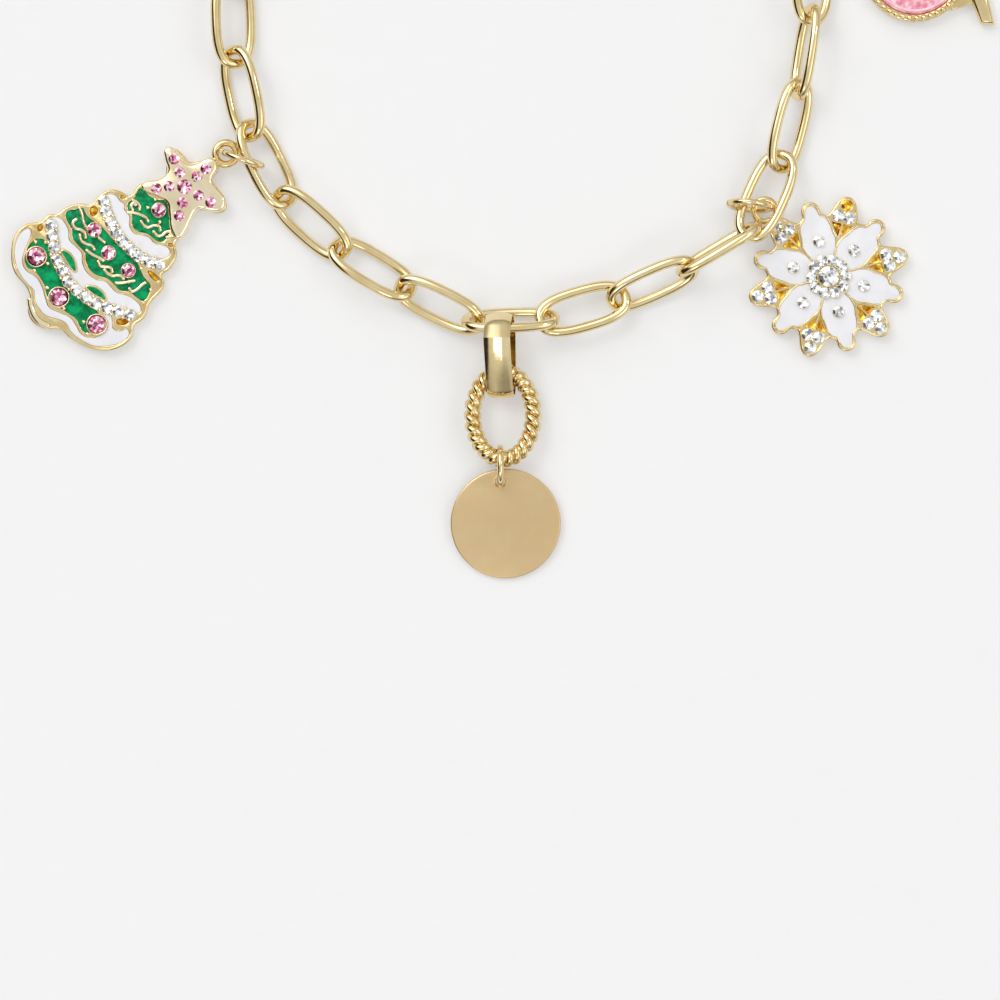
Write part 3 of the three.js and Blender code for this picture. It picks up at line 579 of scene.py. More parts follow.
TREE_CELLS = {
    "tree_green_top": [
        (-4.8, -11.3), (-4.9, -12), (-4.5, -12.5), (-4.5, -13.3), (-4.5, -13.9), (-3.9, -14.4),
        (-3.1, -14.5), (-2, -15.5), (-1, -15.5), (0.2, -14.8), (1, -14.7), (1.7, -14.6), (2.3, -14.1),
        (2.2, -13.2), (1.9, -12.2), (0.6, -10.9), (-0.7, -9.9), (-2.2, -10.8), (-3.2, -11.2), (-4.1, -11.2),
    ],
    "tree_green_middle": [
        (-9.4, -20.6), (-9.3, -19.9), (-8.8, -19.3), (-8.5, -18.6), (-7.3, -18.9), (-6.3, -18.8),
        (-5, -18.5), (-4, -18.6), (-2.8, -18.7), (-1.3, -18.7), (-0.1, -18.6), (1.4, -18.5), (2.5, -18.8),
        (3.7, -19.3), (5.2, -19.5), (5.9, -20.5), (6, -21.5), (5.2, -21.8), (3.8, -22), (2.8, -22.7),
        (1.7, -22.7), (0.5, -22.8), (-0.6, -23.4), (-1.7, -23.6), (-3, -23.2), (-3.9, -22.5), (-5.3, -22.4),
        (-6.5, -22.2), (-7.3, -21.5), (-8.4, -21.2),
    ],
    "tree_green_bottom": [
        (-9.9, -26.4), (-9.6, -25.5), (-8.6, -25.1), (-7.5, -25.7), (-6.3, -26.5), (-4.9, -27),
        (-3.6, -27.3), (-2.2, -27.4), (-0.3, -27.4), (1.5, -27.2), (2.9, -26.9), (4, -27.4), (4.6, -28.6),
        (4, -29.5), (3.4, -30), (2.4, -29.8), (1.4, -29.5), (0.3, -29.7), (-0.8, -29.9), (-2.3, -30.3),
        (-3.6, -30), (-4.5, -29.4), (-5.8, -29), (-7, -28.9), (-8.1, -29.2), (-9.4, -28.1),
    ],
    "tree_white_top": [
        (-7.4, -15.7), (-7.2, -14.8), (-6.5, -14.3), (-5.4, -14.4), (-4.8, -14.3), (-4.3, -14.8),
        (-3.3, -14.9), (-2.2, -15.9), (-1.1, -16.1), (-0.2, -15.5), (0.7, -15.1), (1.8, -15.1),
        (2.7, -14.5), (3.5, -14.3), (4.1, -14.7), (4, -15.6), (2.9, -16.5), (1.4, -17), (-0.2, -17.2),
        (-1.5, -17.2), (-2.9, -16.9), (-4.4, -16.4), (-5.7, -15.9), (-6.6, -15.9),
    ],
    "tree_white_middle": [
        (-10.3, -23.1), (-10.3, -22.2), (-9.5, -21.6), (-8.8, -21.6), (-7.6, -22), (-6.6, -22.8),
        (-5.2, -22.8), (-4.2, -22.9), (-3.3, -23.7), (-1.9, -24.2), (-0.4, -24), (0.7, -23.3), (1.6, -23.3),
        (2.7, -23.3), (4, -22.6), (5.2, -22.3), (6.3, -22.4), (6.8, -23), (5.8, -23.6), (4.4, -24.4),
        (3, -25.1), (1.6, -25.7), (0.3, -26.1), (-1.2, -26.3), (-2.8, -26.2), (-4.3, -25.8), (-5.7, -25.2),
        (-7, -24.3), (-8.2, -23.4), (-9.2, -22.7),
    ],
    "tree_white_base": [
        (-11.4, -25.5), (-11.8, -26.4), (-11.6, -27.5), (-10.9, -28.7), (-9.7, -29.8), (-8.2, -30.5),
        (-6.5, -30.8), (-5.2, -30.8), (-4.2, -31.6), (-3, -32), (-1.7, -32), (-0.5, -31.4), (0.7, -30.9),
        (2.2, -31.2), (3.9, -31), (5.7, -30.3), (7.1, -28.8), (7.9, -27.3), (7.7, -25.9), (7.1, -25.8),
        (6.7, -26.6), (5.8, -27), (4.9, -26.3), (4, -26), (3.8, -26.5), (4.8, -26.9), (5.3, -27.8),
        (5.2, -28.9), (4.4, -30.1), (3.2, -30.5), (2.1, -30.2), (0.7, -30), (-0.7, -30.5), (-2.2, -31),
        (-3.4, -30.5), (-4.7, -29.8), (-6.2, -29.4), (-7.8, -29.7), (-8.9, -29.3), (-9.8, -28),
        (-10.3, -26.8), (-10.8, -25.8),
    ],
}
TREE_HOLLOWS = [                      # each a place, half a length, half a width and a turn
    ((-5.6, -13.65), 0.4, 0.24, 45), ((-7.05, -17.8), 0.65, 0.5, -45), ((-10.5, -24.4), 0.45, 0.33, -45),
    ((6.0, -25.5), 0.8, 0.42, 45), ((4.6, -18.3), 0.95, 0.33, 0), ((3.35, -13.75), 0.35, 0.2, 15),
]


def oval_outline(at, length, width, turn):
    """Points in mm on an oval, for a smooth outline."""
    along = Vector((math.cos(math.radians(turn)), math.sin(math.radians(turn))))
    across = Vector((-along.y, along.x))
    return [Vector(at) + along * length * x + across * width * y for x, y in round_outline(1.0, count=10)]


def raised(piece, height, x=0.0, y=0.0):
    """A piece lifted by a height, and moved along X and Y, in mm."""
    piece.data.transform(Matrix.Translation(Vector((x, y, height)) * MM))
    return piece


def drawn_in(outline, distance):
    """An outline's points, each moved inwards by a distance in mm."""
    middle = sum((Vector(point) for point in outline), Vector((0, 0))) / len(outline)
    area = sum((Vector(a) - middle).cross(Vector(b) - middle)
               for a, b in zip(outline, outline[1:] + outline[:1]))
    moved = []
    for i, point in enumerate(outline):
        run = Vector(outline[(i + 1) % len(outline)]) - Vector(outline[i - 1])
        inwards = Vector((-run.y, run.x)).normalized() * math.copysign(distance, area)
        moved.append(Vector(point) + inwards)
    return moved


def rim_wire(name, outline, radius, height):
    """A rounded rim along an outline, at a height above the surface, in mm."""
    return raised(round_wire(name, outline, radius, steps=4, rounds=2), height)


tree_place = pose(**TREE_PLACE)
hollow_outlines = [oval_outline(*hollow) for hollow in TREE_HOLLOWS]
tree_loop = raised(wire_link("tree_loop", **TREE_LOOP), LOOP_HEIGHT)
tree_plate = flat_piece("tree_plate", [TREE_OUTLINE], 0, PLATE_TOP, rounding=0.15)
tree_walls = flat_piece("tree_walls", [TREE_OUTLINE, *TREE_CELLS.values(), *hollow_outlines], 0.5, WALL_TOP,
                        rounding=0.12)
tree_rim = rim_wire("tree_rim", drawn_in(TREE_OUTLINE, RIM["radius"]), **RIM)
tree_metal = join([tree_walls, tree_plate, tree_loop, tree_rim], "tree_cast_frame")
finish_piece(tree_metal, cast_gold, "gold", "tree_casting", place=tree_place)

# The bare hollows' floors are tinted deep amber, with painted reflection, shade and glints from the close
# walls.
hollow_gold_painted_amber_shade = gold_plating("gold_with_painted_amber_shade_in_hollows", "#b06a14", "#ffce4e", 0.2, 0.5, 1.0, cloud_mm=0.7)
dishes = [flat_piece(f"dish_{i}", [outline], 0.8, 1.0, rounding=0.05)
          for i, outline in enumerate(hollow_outlines)]
finish_piece(join(dishes, "tree_hollow_floors"), hollow_gold_painted_amber_shade, "gold", place=tree_place)

# ---------- tree charm: enamel
# Translucent green glass enamel fills the three tiers and cool white enamel the bands of snow. Each is
# fired and polished, so its face is glossy, a little domed, and uneven in depth.


def enamel(name, stops, cloud_mm, roughness, ripple_mm, ripple):
    """A fired glass enamel: colours that drift with its depth, under a glossy, slightly wavy face."""
    material, tree, shader = new_material(name, IOR=1.5, Specular_IOR_Level=0.15)
    tree.links.new(clouded(tree, cloud_mm, *stops), shader.inputs["Base Color"])
    grained(tree, shader, ripple_mm, 2.0, roughness * 0.6, roughness * 1.5, ripple, 0.1)
    return material


# Clear green glass over bright metal: light where it lies thin, deep where it lies thick.
green_enamel = enamel("translucent_green_glass_enamel",
                      ((0.36, "#006e40"), (0.5, "#009158"), (0.62, "#02a868")), 0.9, 0.07, 0.8, 0.5)
# Opaque white glass with a trace of blue: even in colour, smooth and softly glossy.
white_enamel = enamel("cool_white_glass_enamel", ((0.3, "#e4e4ea"), (0.7, "#ededf2")), 2.5, 0.1, 1.4, 0.15)
ENAMELS = {"green_enamel": (green_enamel, 1.42), "white_enamel": (white_enamel, 1.56)}    # with its top in mm
for node, outline in TREE_CELLS.items():
    slot = "green_enamel" if "green" in node else "white_enamel"
    enamel_of_cell, top = ENAMELS[slot]
    filling = flat_piece(node + "_filling", [outline], 0.95, top, rounding=0.06, inset=0.01)
    finish_piece(filling, enamel_of_cell, slot, node, place=tree_place)

# ---------- tree charm: star
# A five-armed star with soft, swollen tips is cast in one with the tree. It stands above the walls, with
# sloping sides and a flat polished face, and pink stones are set in it.

STAR_TOP = 2.5
STAR_OUTLINE = [
    (-6.2, -5.4), (-5.8, -4.5), (-4.6, -4.4), (-3.6, -4.7), (-2.1, -4.1), (-1.3, -2.1), (-0.3, -1.5),
    (0.7, -2.3), (1.2, -3.7), (2.7, -4), (4.3, -4.3), (5, -5.7), (3.7, -7.1), (2.7, -7.8), (3, -9.4),
    (3.6, -11.1), (3.6, -12.5), (2.2, -12.5), (0.3, -11.1), (-1, -10.2), (-2.7, -10.6), (-3.8, -11.1),
    (-4.9, -11.1), (-4.9, -10.1), (-3.8, -8.5), (-3.8, -7.2), (-5.2, -6.3),
]

# Polished gold on what stands proud, tinted paler than the rest as a painted sheen for the light it catches.
proud_gold_painted_sheen = gold_plating("gold_plating_with_painted_sheen", "#f5e4ba", "#fff2d2", 0.12, 0.5, 0.1)
star = flat_piece("tree_star", [STAR_OUTLINE], 0.5, STAR_TOP, rounding=0.5)
finish_piece(star, proud_gold_painted_sheen, "gold", place=tree_place)

# ---------- tree charm: rope swirls
# Short gold wires lie curled across the green tiers like tinsel, each ending in a small ball. They are
# soldered down before the enamel is fired, and a thicker one curls along the foot of the trunk.

TINSEL = [
    [(-4.4, -13.1), (-3.9, -12.9), (-3.2, -13), (-2.9, -13.3)],
    [(-3.5, -14), (-4, -13.8), (-4, -13.3), (-3.7, -13.3)],
    [(-3.7, -14.7), (-3, -14.1), (-2.2, -13.7), (-1.6, -13.5), (-1, -13.6)],
    [(-1.6, -14.3), (-0.9, -14.4), (-0.3, -14.1), (-0.1, -13.6), (0.5, -13.1), (1, -13.3)],
    [(0.5, -14.1), (1.2, -14.1), (1.6, -13.8), (1.7, -13), (2.1, -12.4), (2.7, -11.8)],
    [(2.3, -13.4), (2.7, -12.8), (3.1, -12.2)],
    [(-8.7, -18.8), (-7.8, -19.2), (-6.9, -19.8), (-5.9, -20)],
    [(-7.9, -20.2), (-7.9, -20.8), (-7.2, -21.1), (-6.4, -20.7), (-5.8, -20.7), (-5.3, -21)],
    [(-6.1, -21.3), (-5.5, -21.7), (-4.6, -21.5), (-4, -21.2), (-3.4, -21.3)],
    [(-4, -22.1), (-3.2, -22), (-2.3, -21.7), (-1.5, -21.5)],
    [(-1.9, -22.1), (-1.3, -22.3), (-0.7, -21.9), (-0.1, -21.5), (0.4, -21.7)],
    [(-0.5, -22.3), (0.2, -22.3), (0.9, -22), (1.4, -21.4), (2.1, -21.3)],
    [(1.8, -22.4), (2.4, -21.8), (2.9, -21.1), (3.3, -20.5)],
    [(3.6, -21.7), (4.1, -21.7), (4.4, -20.9), (4.4, -20.3), (4.5, -19.7)],
    [(-4, -19.8), (-3.1, -19.7)],
]
TINSEL_WIRE = {"thickness": 0.48, "height": 1.6}
TINSEL_BALL = 0.25
TRUNK_CURL = [(-4.9, -31.9), (-3.6, -32.8), (-2.0, -33.2), (-0.4, -32.8)]
TRUNK_WIRE = {"thickness": 1.0, "height": 1.35}


def scatter(pattern, name, places, tilt=0.0):
    """Copies of a pattern at each x, y, z and size in mm as one piece, each turned on and tipped a little."""
    turn_on = 2.4
    copies = []
    for number, (x, y, z, size) in enumerate(places):
        turn = Matrix.Rotation(turn_on * number, 4, "Z") @ Matrix.Rotation(math.radians(tilt), 4, "X")
        place = Matrix.Translation(Vector((x, y, z)) * MM) @ turn @ Matrix.Scale(size * MM, 4)
        copies.append(copy_of(pattern, f"{name}_{number}", place))
    return join(copies, name)


def tinsel_wire(name, points, thickness, height):
    """An open wire curled through a few points, at a height above the surface, in mm."""
    return raised(round_wire(name, points, thickness / 2, steps=8, rounds=3, cyclic=False), height)


ball = added(bpy.ops.mesh.primitive_ico_sphere_add, "ball_pattern", subdivisions=2, radius=1)
bpy.ops.object.shade_smooth()
wires = [tinsel_wire(f"tinsel_{i}", points, **TINSEL_WIRE) for i, points in enumerate(TINSEL)]
wire_ends = [(*end, TINSEL_WIRE["height"], TINSEL_BALL)
             for points in TINSEL for end in (points[0], points[-1])]
trunk_curl = tinsel_wire("trunk_curl", TRUNK_CURL, **TRUNK_WIRE)
tinsel = join([*wires, scatter(ball, "tinsel_ends", wire_ends), trunk_curl], "tree_tinsel_wires")
finish_piece(tinsel, proud_gold_painted_sheen, "gold", place=tree_place)

# Two green leaves in gold rims lie half under the lower garland.
LEAVES = [
    [(-6.5, -24.5), (-5.7, -23.9), (-4.6, -23.9), (-3.5, -24.4), (-2.9, -25.2), (-3.8, -25.4), (-5.2, -25.1)],
    [(-0.8, -25.6), (-0.2, -24.8), (0.8, -24.4), (2, -24.5), (2.6, -25), (1.6, -25.5), (0.4, -25.8)],
]
leaf_rims = [flat_piece(f"leaf_rim_{i}", [leaf], 1.0, 1.75, rounding=0.12) for i, leaf in enumerate(LEAVES)]
finish_piece(join(leaf_rims, "tree_leaf_rims"), cast_gold, "gold", place=tree_place)
leaf_fillings = [flat_piece(f"leaf_{i}", [leaf], 1.4, 1.82, rounding=0.1, inset=0.24)
                 for i, leaf in enumerate(LEAVES)]
finish_piece(join(leaf_fillings, "tree_leaf_fillings"), green_enamel, "green_enamel", place=tree_place)

# ---------- tree charm: stones
# Machine-cut glass stones with foil backs sit in gold cups, held by grains of metal pushed over their edges:
# clear ones as garlands, pink ones on the star, the tiers and the foot. A stone and its cup each have a
# height and a radius in mm.

UPPER_GARLAND = [(-7, -15.9), (-5.8, -16.7), (-4.3, -17.3), (-2.9, -17.7), (-1.4, -17.9), (0.1, -17.9),
                 (1.5, -17.8), (2.9, -17.3), (4.2, -16.7)]
LOWER_GARLAND = [(-9.7, -23), (-8.6, -24), (-7.3, -24.9), (-5.9, -25.8), (-4.4, -26.3), (-2.8, -26.8),
                 (-1.2, -26.8), (0.4, -26.6), (1.9, -26.2), (3.3, -25.6), (4.7, -24.9), (6.1, -24.1)]
TIER_PINKS = [(-1, -11.6), (-5.2, -19.5), (-1.7, -20.3), (1.8, -20.1)]
FOOT_PINKS = [(-8.1, -27.4), (-2.2, -29.1), (3.9, -28.1)]
STAR_MIDDLE = (-0.7, -7)
STAR_ARMS = [(-4.3, -5.4), (-2.5, -6.1), (-0.4, -3.3), (-0.5, -4.9), (1.4, -6.5), (3.2, -6), (0.6, -8.7),
             (1.5, -10.2), (-2.2, -8.4), (-3.2, -9.8)]
GRAINS = [(-9.6, -26.1), (-8.6, -25.2), (-6.4, -27), (-7, -28.9), (-4.2, -29.3), (-0.7, -29.7),
          (2.4, -29.1), (3.9, -29.9), (2.8, -18.7), (5.7, -19.8), (6.2, -21.7), (-2.4, -10.9), (-2.3, -12.4),
          (0.2, -12.6)]
GARLAND_STONE, GARLAND_CUP = (1.85, 0.74), (1.85, 0.82)
TIER_STONE, TIER_CUP = (1.95, 0.88), (1.95, 1.0)
FOOT_STONE, FOOT_CUP = (2.05, 1.12), (2.1, 1.42)
STAR_MIDDLE_STONE = (STAR_TOP + 0.1, 1.0)
STAR_ARM_STONE = (STAR_TOP + 0.05, 0.74)
GARLAND_GRAIN = {"size": (1.95, 0.24), "out": 0.62}
LOOSE_GRAIN = (1.6, 0.3)


def edit_top(piece):
    """Goes into edit mode with only the faces selected that look up."""
    bpy.ops.object.mode_set(mode="EDIT")
    bpy.ops.mesh.select_all(action="DESELECT")
    bpy.ops.object.mode_set(mode="OBJECT")
    for face in piece.data.polygons:
        face.select = face.normal.z > 0.9
    bpy.ops.object.mode_set(mode="EDIT")


def cut_stone(sides=12, girdle=0.4, table=0.42, crown=0.2, star=0.12):
    """A stone of unit radius: a low girdle, a ring of crown facets, and a shallow star of facets on top."""
    stone = added(bpy.ops.mesh.primitive_cylinder_add, "stone_pattern", vertices=sides, radius=1,
                  depth=girdle)
    edit_top(stone)
    bpy.ops.mesh.inset(thickness=table, depth=crown)
    bpy.ops.mesh.poke(offset=-star)
    bpy.ops.object.mode_set(mode="OBJECT")
    return stone


def stone_cup(rim=0.12, depth=0.25, sides=20):
    """A cup of unit radius whose thin rounded rim is at height 0, and which reaches down by one unit."""
    cup = added(bpy.ops.mesh.primitive_cylinder_add, "cup_pattern", vertices=sides, radius=1, depth=1,
                location=(0, 0, -0.5))
    bpy.ops.object.transform_apply()
    edit_top(cup)
    bpy.ops.mesh.inset(thickness=rim, depth=0)
    bpy.ops.mesh.extrude_region_move(TRANSFORM_OT_translate={"value": (0, 0, -depth)})
    bpy.ops.object.mode_set(mode="OBJECT")
    round_edges(cup, rim / 3, 1)
    bpy.ops.object.shade_smooth_by_angle(angle=math.radians(50))
    return cup


def stone_with_painted_flashes(name, low, middle, high):
    """Glass over a mirror foil, reflecting, with painted flashes and shade: patches tinted at random from dim
    to bright.
    """
    material, tree, shader = new_material(name, Metallic=0.85, Coat_Weight=1.0, Coat_Roughness=0.02)
    place = add_node(tree, "TexCoord").outputs["Object"]
    facets = add_node(tree, "TexVoronoi", Vector=place, Scale=1 / (0.35 * MM))
    tint_and_painted_flashes = ramp_of(add_node(tree, "ValToRGB", Fac=facets.outputs["Color"]),
                   (0.25, low), (0.5, middle), (0.75, high))
    tree.links.new(tint_and_painted_flashes, shader.inputs["Base Color"])
    polish = add_node(tree, "MapRange", Value=facets.outputs["Distance"], From_Min=0.0,
                      From_Max=0.6, To_Min=0.03, To_Max=0.12)
    tree.links.new(polish.outputs["Result"], shader.inputs["Roughness"])
    return material


# Crystal glass, cut and polished: painted white flashes beside painted grey shade on its facets.
clear_stone = stone_with_painted_flashes("clear_glass_stone_painted_flashes", "#94979d", "#e9eaec", "#ffffff")
# The same glass tinted pink: painted pale flashes beside painted deep rose shade.
pink_stone = stone_with_painted_flashes("pink_glass_stone_painted_flashes", "#7a1444", "#e0709c", "#ffe2ec")
stone = cut_stone()
cup = stone_cup()


def seated(*groups):
    """The places of each group, with the group's height and radius added, in mm."""
    return [(*at, *size) for places, size in groups for at in places]


def set_stones(charm, place, clear, pink, cups, grains):
    """Places a charm's stones, each x, y, height and radius in mm, with their cups and holding grains."""
    for kind, places, material, slot in (("clear", clear, clear_stone, "clear_crystal"),
                                         ("pink", pink, pink_stone, "pink_crystal")):
        if places:
            stones = scatter(stone, f"{charm}_{kind}_stones", places, tilt=4.0)
            finish_piece(stones, material, slot, place=place)
    metal = join([scatter(cup, f"{charm}_cups", cups), scatter(ball, f"{charm}_balls", grains)],
                 f"{charm}_settings")
    finish_piece(metal, proud_gold_painted_sheen, "gold", place=place)


def between(garland, side):
    """Places for grains between neighbouring stones of a garland, to one side of its line, in mm."""
    places = []
    for first, second in zip(garland, garland[1:]):
        run = Vector(second) - Vector(first)
        middle = (Vector(first) + Vector(second)) / 2
        places.append(middle + Vector((-run.y, run.x)).normalized() * side)
    return places


garlands = UPPER_GARLAND + LOWER_GARLAND
pinks = seated((TIER_PINKS, TIER_STONE), (FOOT_PINKS, FOOT_STONE),
               ([STAR_MIDDLE], STAR_MIDDLE_STONE), (STAR_ARMS, STAR_ARM_STONE))
tree_cups = seated((garlands, GARLAND_CUP), (TIER_PINKS, TIER_CUP), (FOOT_PINKS, FOOT_CUP))
garland_grains = [at for garland in (UPPER_GARLAND, LOWER_GARLAND) for side in (1, -1)
                  for at in between(garland, side * GARLAND_GRAIN["out"])]
tree_grains = seated((garland_grains, GARLAND_GRAIN["size"]), (GRAINS, LOOSE_GRAIN))
set_stones("tree", tree_place, seated((garlands, GARLAND_STONE)), pinks, tree_cups, tree_grains)

# ---------- snowflake charm
# A six-petalled snowflake cast in brass and plated, with white enamel in the petals, bare split hollows
# between them, clusters of three stones at the points and a rosette of eleven in the middle. Places are a
# radius in mm and an angle.

SNOWFLAKE_PLACE = {"at": (43.195, -56.967), "heading": 75.5}
SNOWFLAKE_LOOP_AT = (12.2, 58.5)
THIN_LOOP = {"length": 3.8, "width": 3.8, "wire": 0.8}
RIM_POINTS = [(10.9, 0), (10.6, 4.5), (9.6, 8.8), (8.7, 12), (8.2, 15.5), (8.3, 19), (8.6, 21.8), (9.3, 22.5),
              (9.9, 25), (10.15, 28)]
PETAL_POINTS = [(2.4, 24), (4.9, 27.4), (6.1, 20.6), (7.3, 16), (7.9, 12.3), (8.2, 7.9), (9, 5.8), (9.6, 3.2),
                (9.8, 0)]
SPLIT_HOLLOW = {"inner": 5.4, "outer": 7.2, "half_width": 1.42, "divider": 0.14}
CLUSTER = [(8.2, 5.3), (8.2, -5.3), (9.75, 0)]
ROSETTE_RING = {"count": 10, "radius": 2.25}
PETAL_STONE_RADIUS = 4.83
CLUSTER_STONE, CLUSTER_CUP = (1.95, 0.76), (1.9, 0.85)
PETAL_STONE, PETAL_CUP = (1.75, 0.74), (1.7, 0.8)
ROSETTE_STONE, ROSETTE_CUP = (2.0, 0.7), (1.95, 0.77)
MIDDLE_STONE, MIDDLE_CUP = (2.3, 1.35), (2.2, 1.4)
EMPTY_BED = (1.75, 0.76)
ROSETTE_GRAIN = {"radius": 1.6, "size": (2.1, 0.16)}
CLUSTER_GRAIN = {"radius": 8.7, "size": (1.95, 0.26)}
PETAL_RIM = {"radius": 0.13, "height": 1.56}
CLUSTER_ANGLES = [60 * i for i in range(6)]
PETAL_ANGLES = [30 + 60 * i for i in range(6)]


def polar(radius, degrees):
    """A point in mm by its radius and angle."""
    return (radius * math.cos(math.radians(degrees)), radius * math.sin(math.radians(degrees)))


def fan(points, angle, side=1):
    """Places in mm for points by radius and angle, turned on by an angle, or mirrored first."""
    return [polar(radius, angle + side * degrees) for radius, degrees in points]


rim = []
for angle in CLUSTER_ANGLES:
    rim += fan(RIM_POINTS, angle) + fan(RIM_POINTS[:0:-1], angle + 60, side=-1)
petals = [fan(PETAL_POINTS, angle) + fan(PETAL_POINTS[-2::-1], angle, side=-1) for angle in PETAL_ANGLES]
hollows = []
inner, outer, half_width, divider = SPLIT_HOLLOW.values()
for angle in CLUSTER_ANGLES:
    turn = Matrix.Rotation(math.radians(angle), 2)
    for side in (1, -1):
        corners = [(inner, divider), (outer, half_width), (outer, divider)]
        hollows.append([turn @ Vector((x, side * y)) for x, y in corners])
snowflake_place = pose(**SNOWFLAKE_PLACE)
snowflake_loop = raised(wire_link("snowflake_loop", **THIN_LOOP), LOOP_HEIGHT, *polar(*SNOWFLAKE_LOOP_AT))
snowflake_walls = flat_piece("snowflake_walls", [rim, *petals, *hollows], 0.3, WALL_TOP, rounding=0.1)
snowflake_plate = flat_piece("snowflake_plate", [rim], 0, 0.6, rounding=0.15)
snowflake_rims = [rim_wire("snowflake_rim", drawn_in(rim, RIM["radius"]), **RIM)]
snowflake_rims += [rim_wire(f"petal_rim_{i}", petal, **PETAL_RIM) for i, petal in enumerate(petals)]
snowflake_metal = join([snowflake_walls, snowflake_plate, snowflake_loop, *snowflake_rims],
                       "snowflake_cast_frame")
finish_piece(snowflake_metal, cast_gold, "gold", "snowflake_casting", place=snowflake_place)


def sunk_floor(name, corners, height, depth):
    """A three-cornered floor whose middle is pushed down, like the inside of a shallow pyramid."""
    sunk = flat_piece(name, [corners], height - 0.2, height, rounding=0.0, inset=0.02)
    for face in sunk.data.polygons:
        face.select = face.normal.z > 0.9
    bpy.ops.object.mode_set(mode="EDIT")
    bpy.ops.mesh.select_mode(type="FACE")
    bpy.ops.mesh.poke(offset=-depth * MM)
    bpy.ops.object.mode_set(mode="OBJECT")
    return sunk


# The split hollows' floors carry the same painted amber reflection, shade and glints.
# The first floor is pushed in on every side, before faces are picked one by one, and lies rougher.
floors = [sunk_floor(f"sunk_{i}", corners, height=1.2, depth=0.5) for i, corners in enumerate(hollows)]
finish_piece(join(floors, "snowflake_hollow_floors"), hollow_gold_painted_amber_shade, "gold", place=snowflake_place)
fillings = [flat_piece(f"petal_{i}", [petal], 0.65, 1.56, rounding=0.06, inset=0.01)
            for i, petal in enumerate(petals)]
finish_piece(join(fillings, "snowflake_petal_fillings"), white_enamel, "white_enamel", "snowflake_enamel",
             place=snowflake_place)

empty_seat = polar(*CLUSTER[-1])
cluster_seats = [at for angle in CLUSTER_ANGLES for at in fan(CLUSTER, angle) if at != empty_seat]
petal_seats = [polar(PETAL_STONE_RADIUS, angle) for angle in PETAL_ANGLES]
ring_angles = [360 / ROSETTE_RING["count"] * i for i in range(ROSETTE_RING["count"])]
rosette_seats = [polar(ROSETTE_RING["radius"], angle) for angle in ring_angles]
snowflake_stones = seated((cluster_seats, CLUSTER_STONE), (petal_seats, PETAL_STONE),
                          (rosette_seats, ROSETTE_STONE), ([(0, 0)], MIDDLE_STONE))
snowflake_cups = seated(([*cluster_seats, empty_seat], CLUSTER_CUP), (petal_seats, PETAL_CUP),
                        (rosette_seats, ROSETTE_CUP), ([(0, 0)], MIDDLE_CUP))
ring_grains = [polar(ROSETTE_GRAIN["radius"], angle + ring_angles[1] / 2) for angle in ring_angles]
cluster_grains = [polar(CLUSTER_GRAIN["radius"], angle) for angle in CLUSTER_ANGLES]
snowflake_grains = seated((ring_grains, ROSETTE_GRAIN["size"]), (cluster_grains, CLUSTER_GRAIN["size"]))
set_stones("snowflake", snowflake_place, snowflake_stones, [], snowflake_cups, snowflake_grains)

# One outermost seat has no stone; its cup's faceted bed carries the hollows' painted amber reflection and
# shade.
seat_bed = scatter(stone, "snowflake_empty_seat_bed", seated(([empty_seat], EMPTY_BED)))
finish_piece(seat_bed, hollow_gold_painted_amber_shade, "gold", place=snowflake_place)
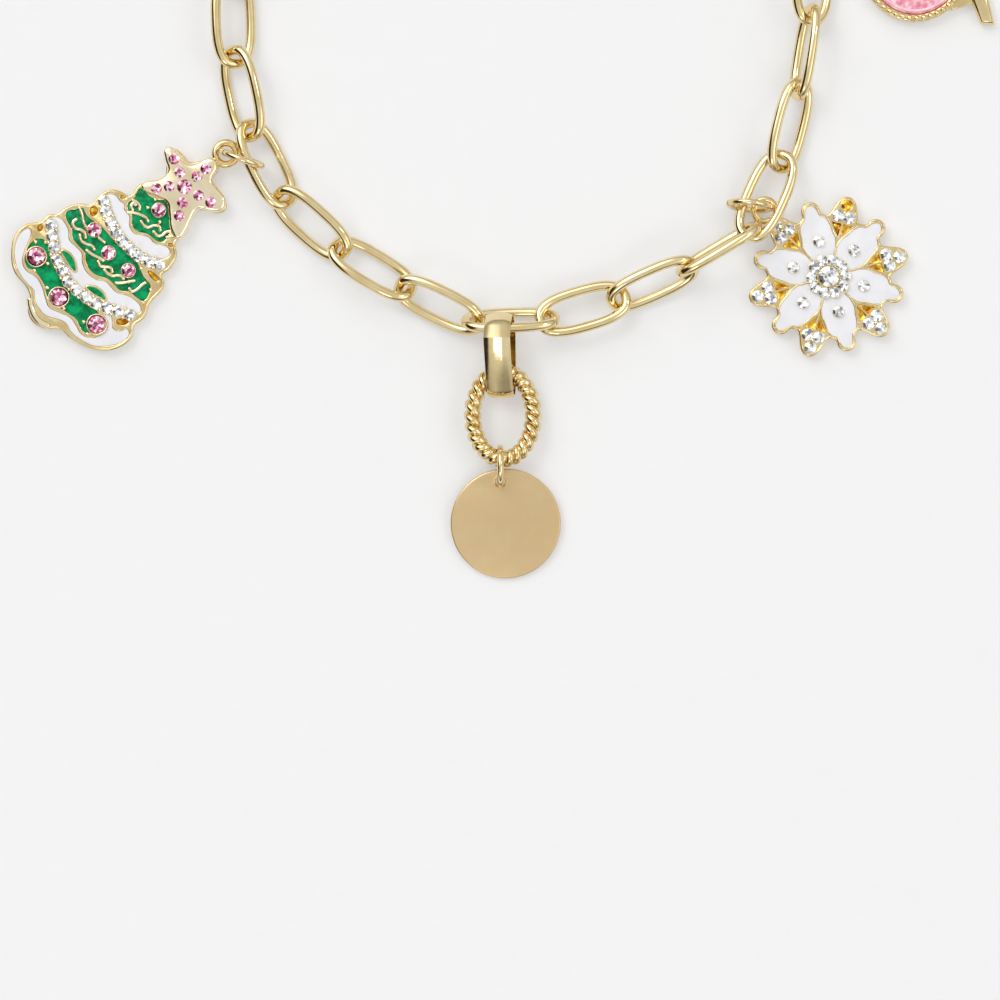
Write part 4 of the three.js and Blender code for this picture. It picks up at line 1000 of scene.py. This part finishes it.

# ---------- coin charm
# A round medal with a beaded rim, cast in one with a loop and a plain rounded foot bar. It is filled with
# cloudy pink enamel, in which a raised line runs round, drawn pale as a painted highlight. In mm from the
# middle of the medal, with the foot towards X.

COIN_PLACE = {"at": (54.645, -16.167), "heading": 18.0}
COIN = {"radius": 7.02, "pocket": 6.0, "top": 1.8}
COIN_BEADS = {"count": 44, "radius": 6.55, "size": 0.42, "sunk": 0.05}
COIN_LOOP_AT = (8.5, 127)
COIN_LINE = {"length": 11.5, "width": 11.5, "wire": 0.4}
COIN_LINE_HEIGHT = 1.66
COLLAR = [(3, -6.7), (6, -6.7), (6, 6.7), (3, 6.7)]
FOOT = [(5.85, -6.7), (6.05, -9.6), (7.8, -10.35), (8.1, -6.7), (8.1, 6.7), (7.8, 10.35), (6.05, 9.6),
        (5.85, 6.7)]
coin_place = pose(**COIN_PLACE)
medal = flat_piece("medal_rim", [round_outline(COIN["radius"]), round_outline(COIN["pocket"])],
                   0, COIN["top"], rounding=0.3)
medal_back = flat_piece("medal_back", [round_outline(COIN["pocket"] + 0.3)], 0.05, 1.0, rounding=0.1)
foot_collar = flat_piece("foot_collar", [COLLAR], 0, 1.4, rounding=0.15, corners=True)
foot = flat_piece("foot_bar", [FOOT], 0, COIN["top"], rounding=0.62, rounds=5, corners=True)
coin_loop = raised(wire_link("coin_loop", **THIN_LOOP), LOOP_HEIGHT, *polar(*COIN_LOOP_AT))
coin_metal = join([medal, medal_back, foot_collar, foot, coin_loop], "coin_cast_frame")
finish_piece(coin_metal, cast_gold, "gold", "coin_casting", place=coin_place)

bead_step = 360 / COIN_BEADS["count"]
bead_places = [polar(COIN_BEADS["radius"], bead_step * i) for i in range(COIN_BEADS["count"])]
bead_size = (COIN["top"] - COIN_BEADS["sunk"], COIN_BEADS["size"])
coin_beads = scatter(ball, "coin_rim_beads", seated((bead_places, bead_size)))
finish_piece(coin_beads, polished_gold, "gold", place=coin_place)

# Clear pink glass over bright metal, clouded where it lies thin.
pink_enamel = enamel("translucent_pink_glass_enamel",
                     ((0.36, "#e07f9a"), (0.5, "#f0a5b6"), (0.64, "#fbd3da")), 0.9, 0.08, 0.5, 0.6)
coin_filling = flat_piece("coin_enamel_filling", [round_outline(COIN["pocket"])], 1.05, 1.7, rounding=0.12,
                          inset=0.03)
finish_piece(coin_filling, pink_enamel, "pink_enamel", "coin_enamel", place=coin_place)
# Glossy glass on a raised ridge, fired last so that it stands proud. Its pale pink is a painted highlight
# along it.
ridge_enamel_painted_highlight = enamel("pale_pink_ridge_painted_highlight", ((0.3, "#f6bccb"), (0.7, "#ffe3e8")), 1.2, 0.06, 0.6, 0.3)
coin_ridge = raised(wire_link("coin_inner_ridge", **COIN_LINE, around=8, steps=40), COIN_LINE_HEIGHT)
finish_piece(coin_ridge, ridge_enamel_painted_highlight, "pink_enamel", place=coin_place)
for pattern in (stone, cup, ball):
    bpy.data.objects.remove(pattern)
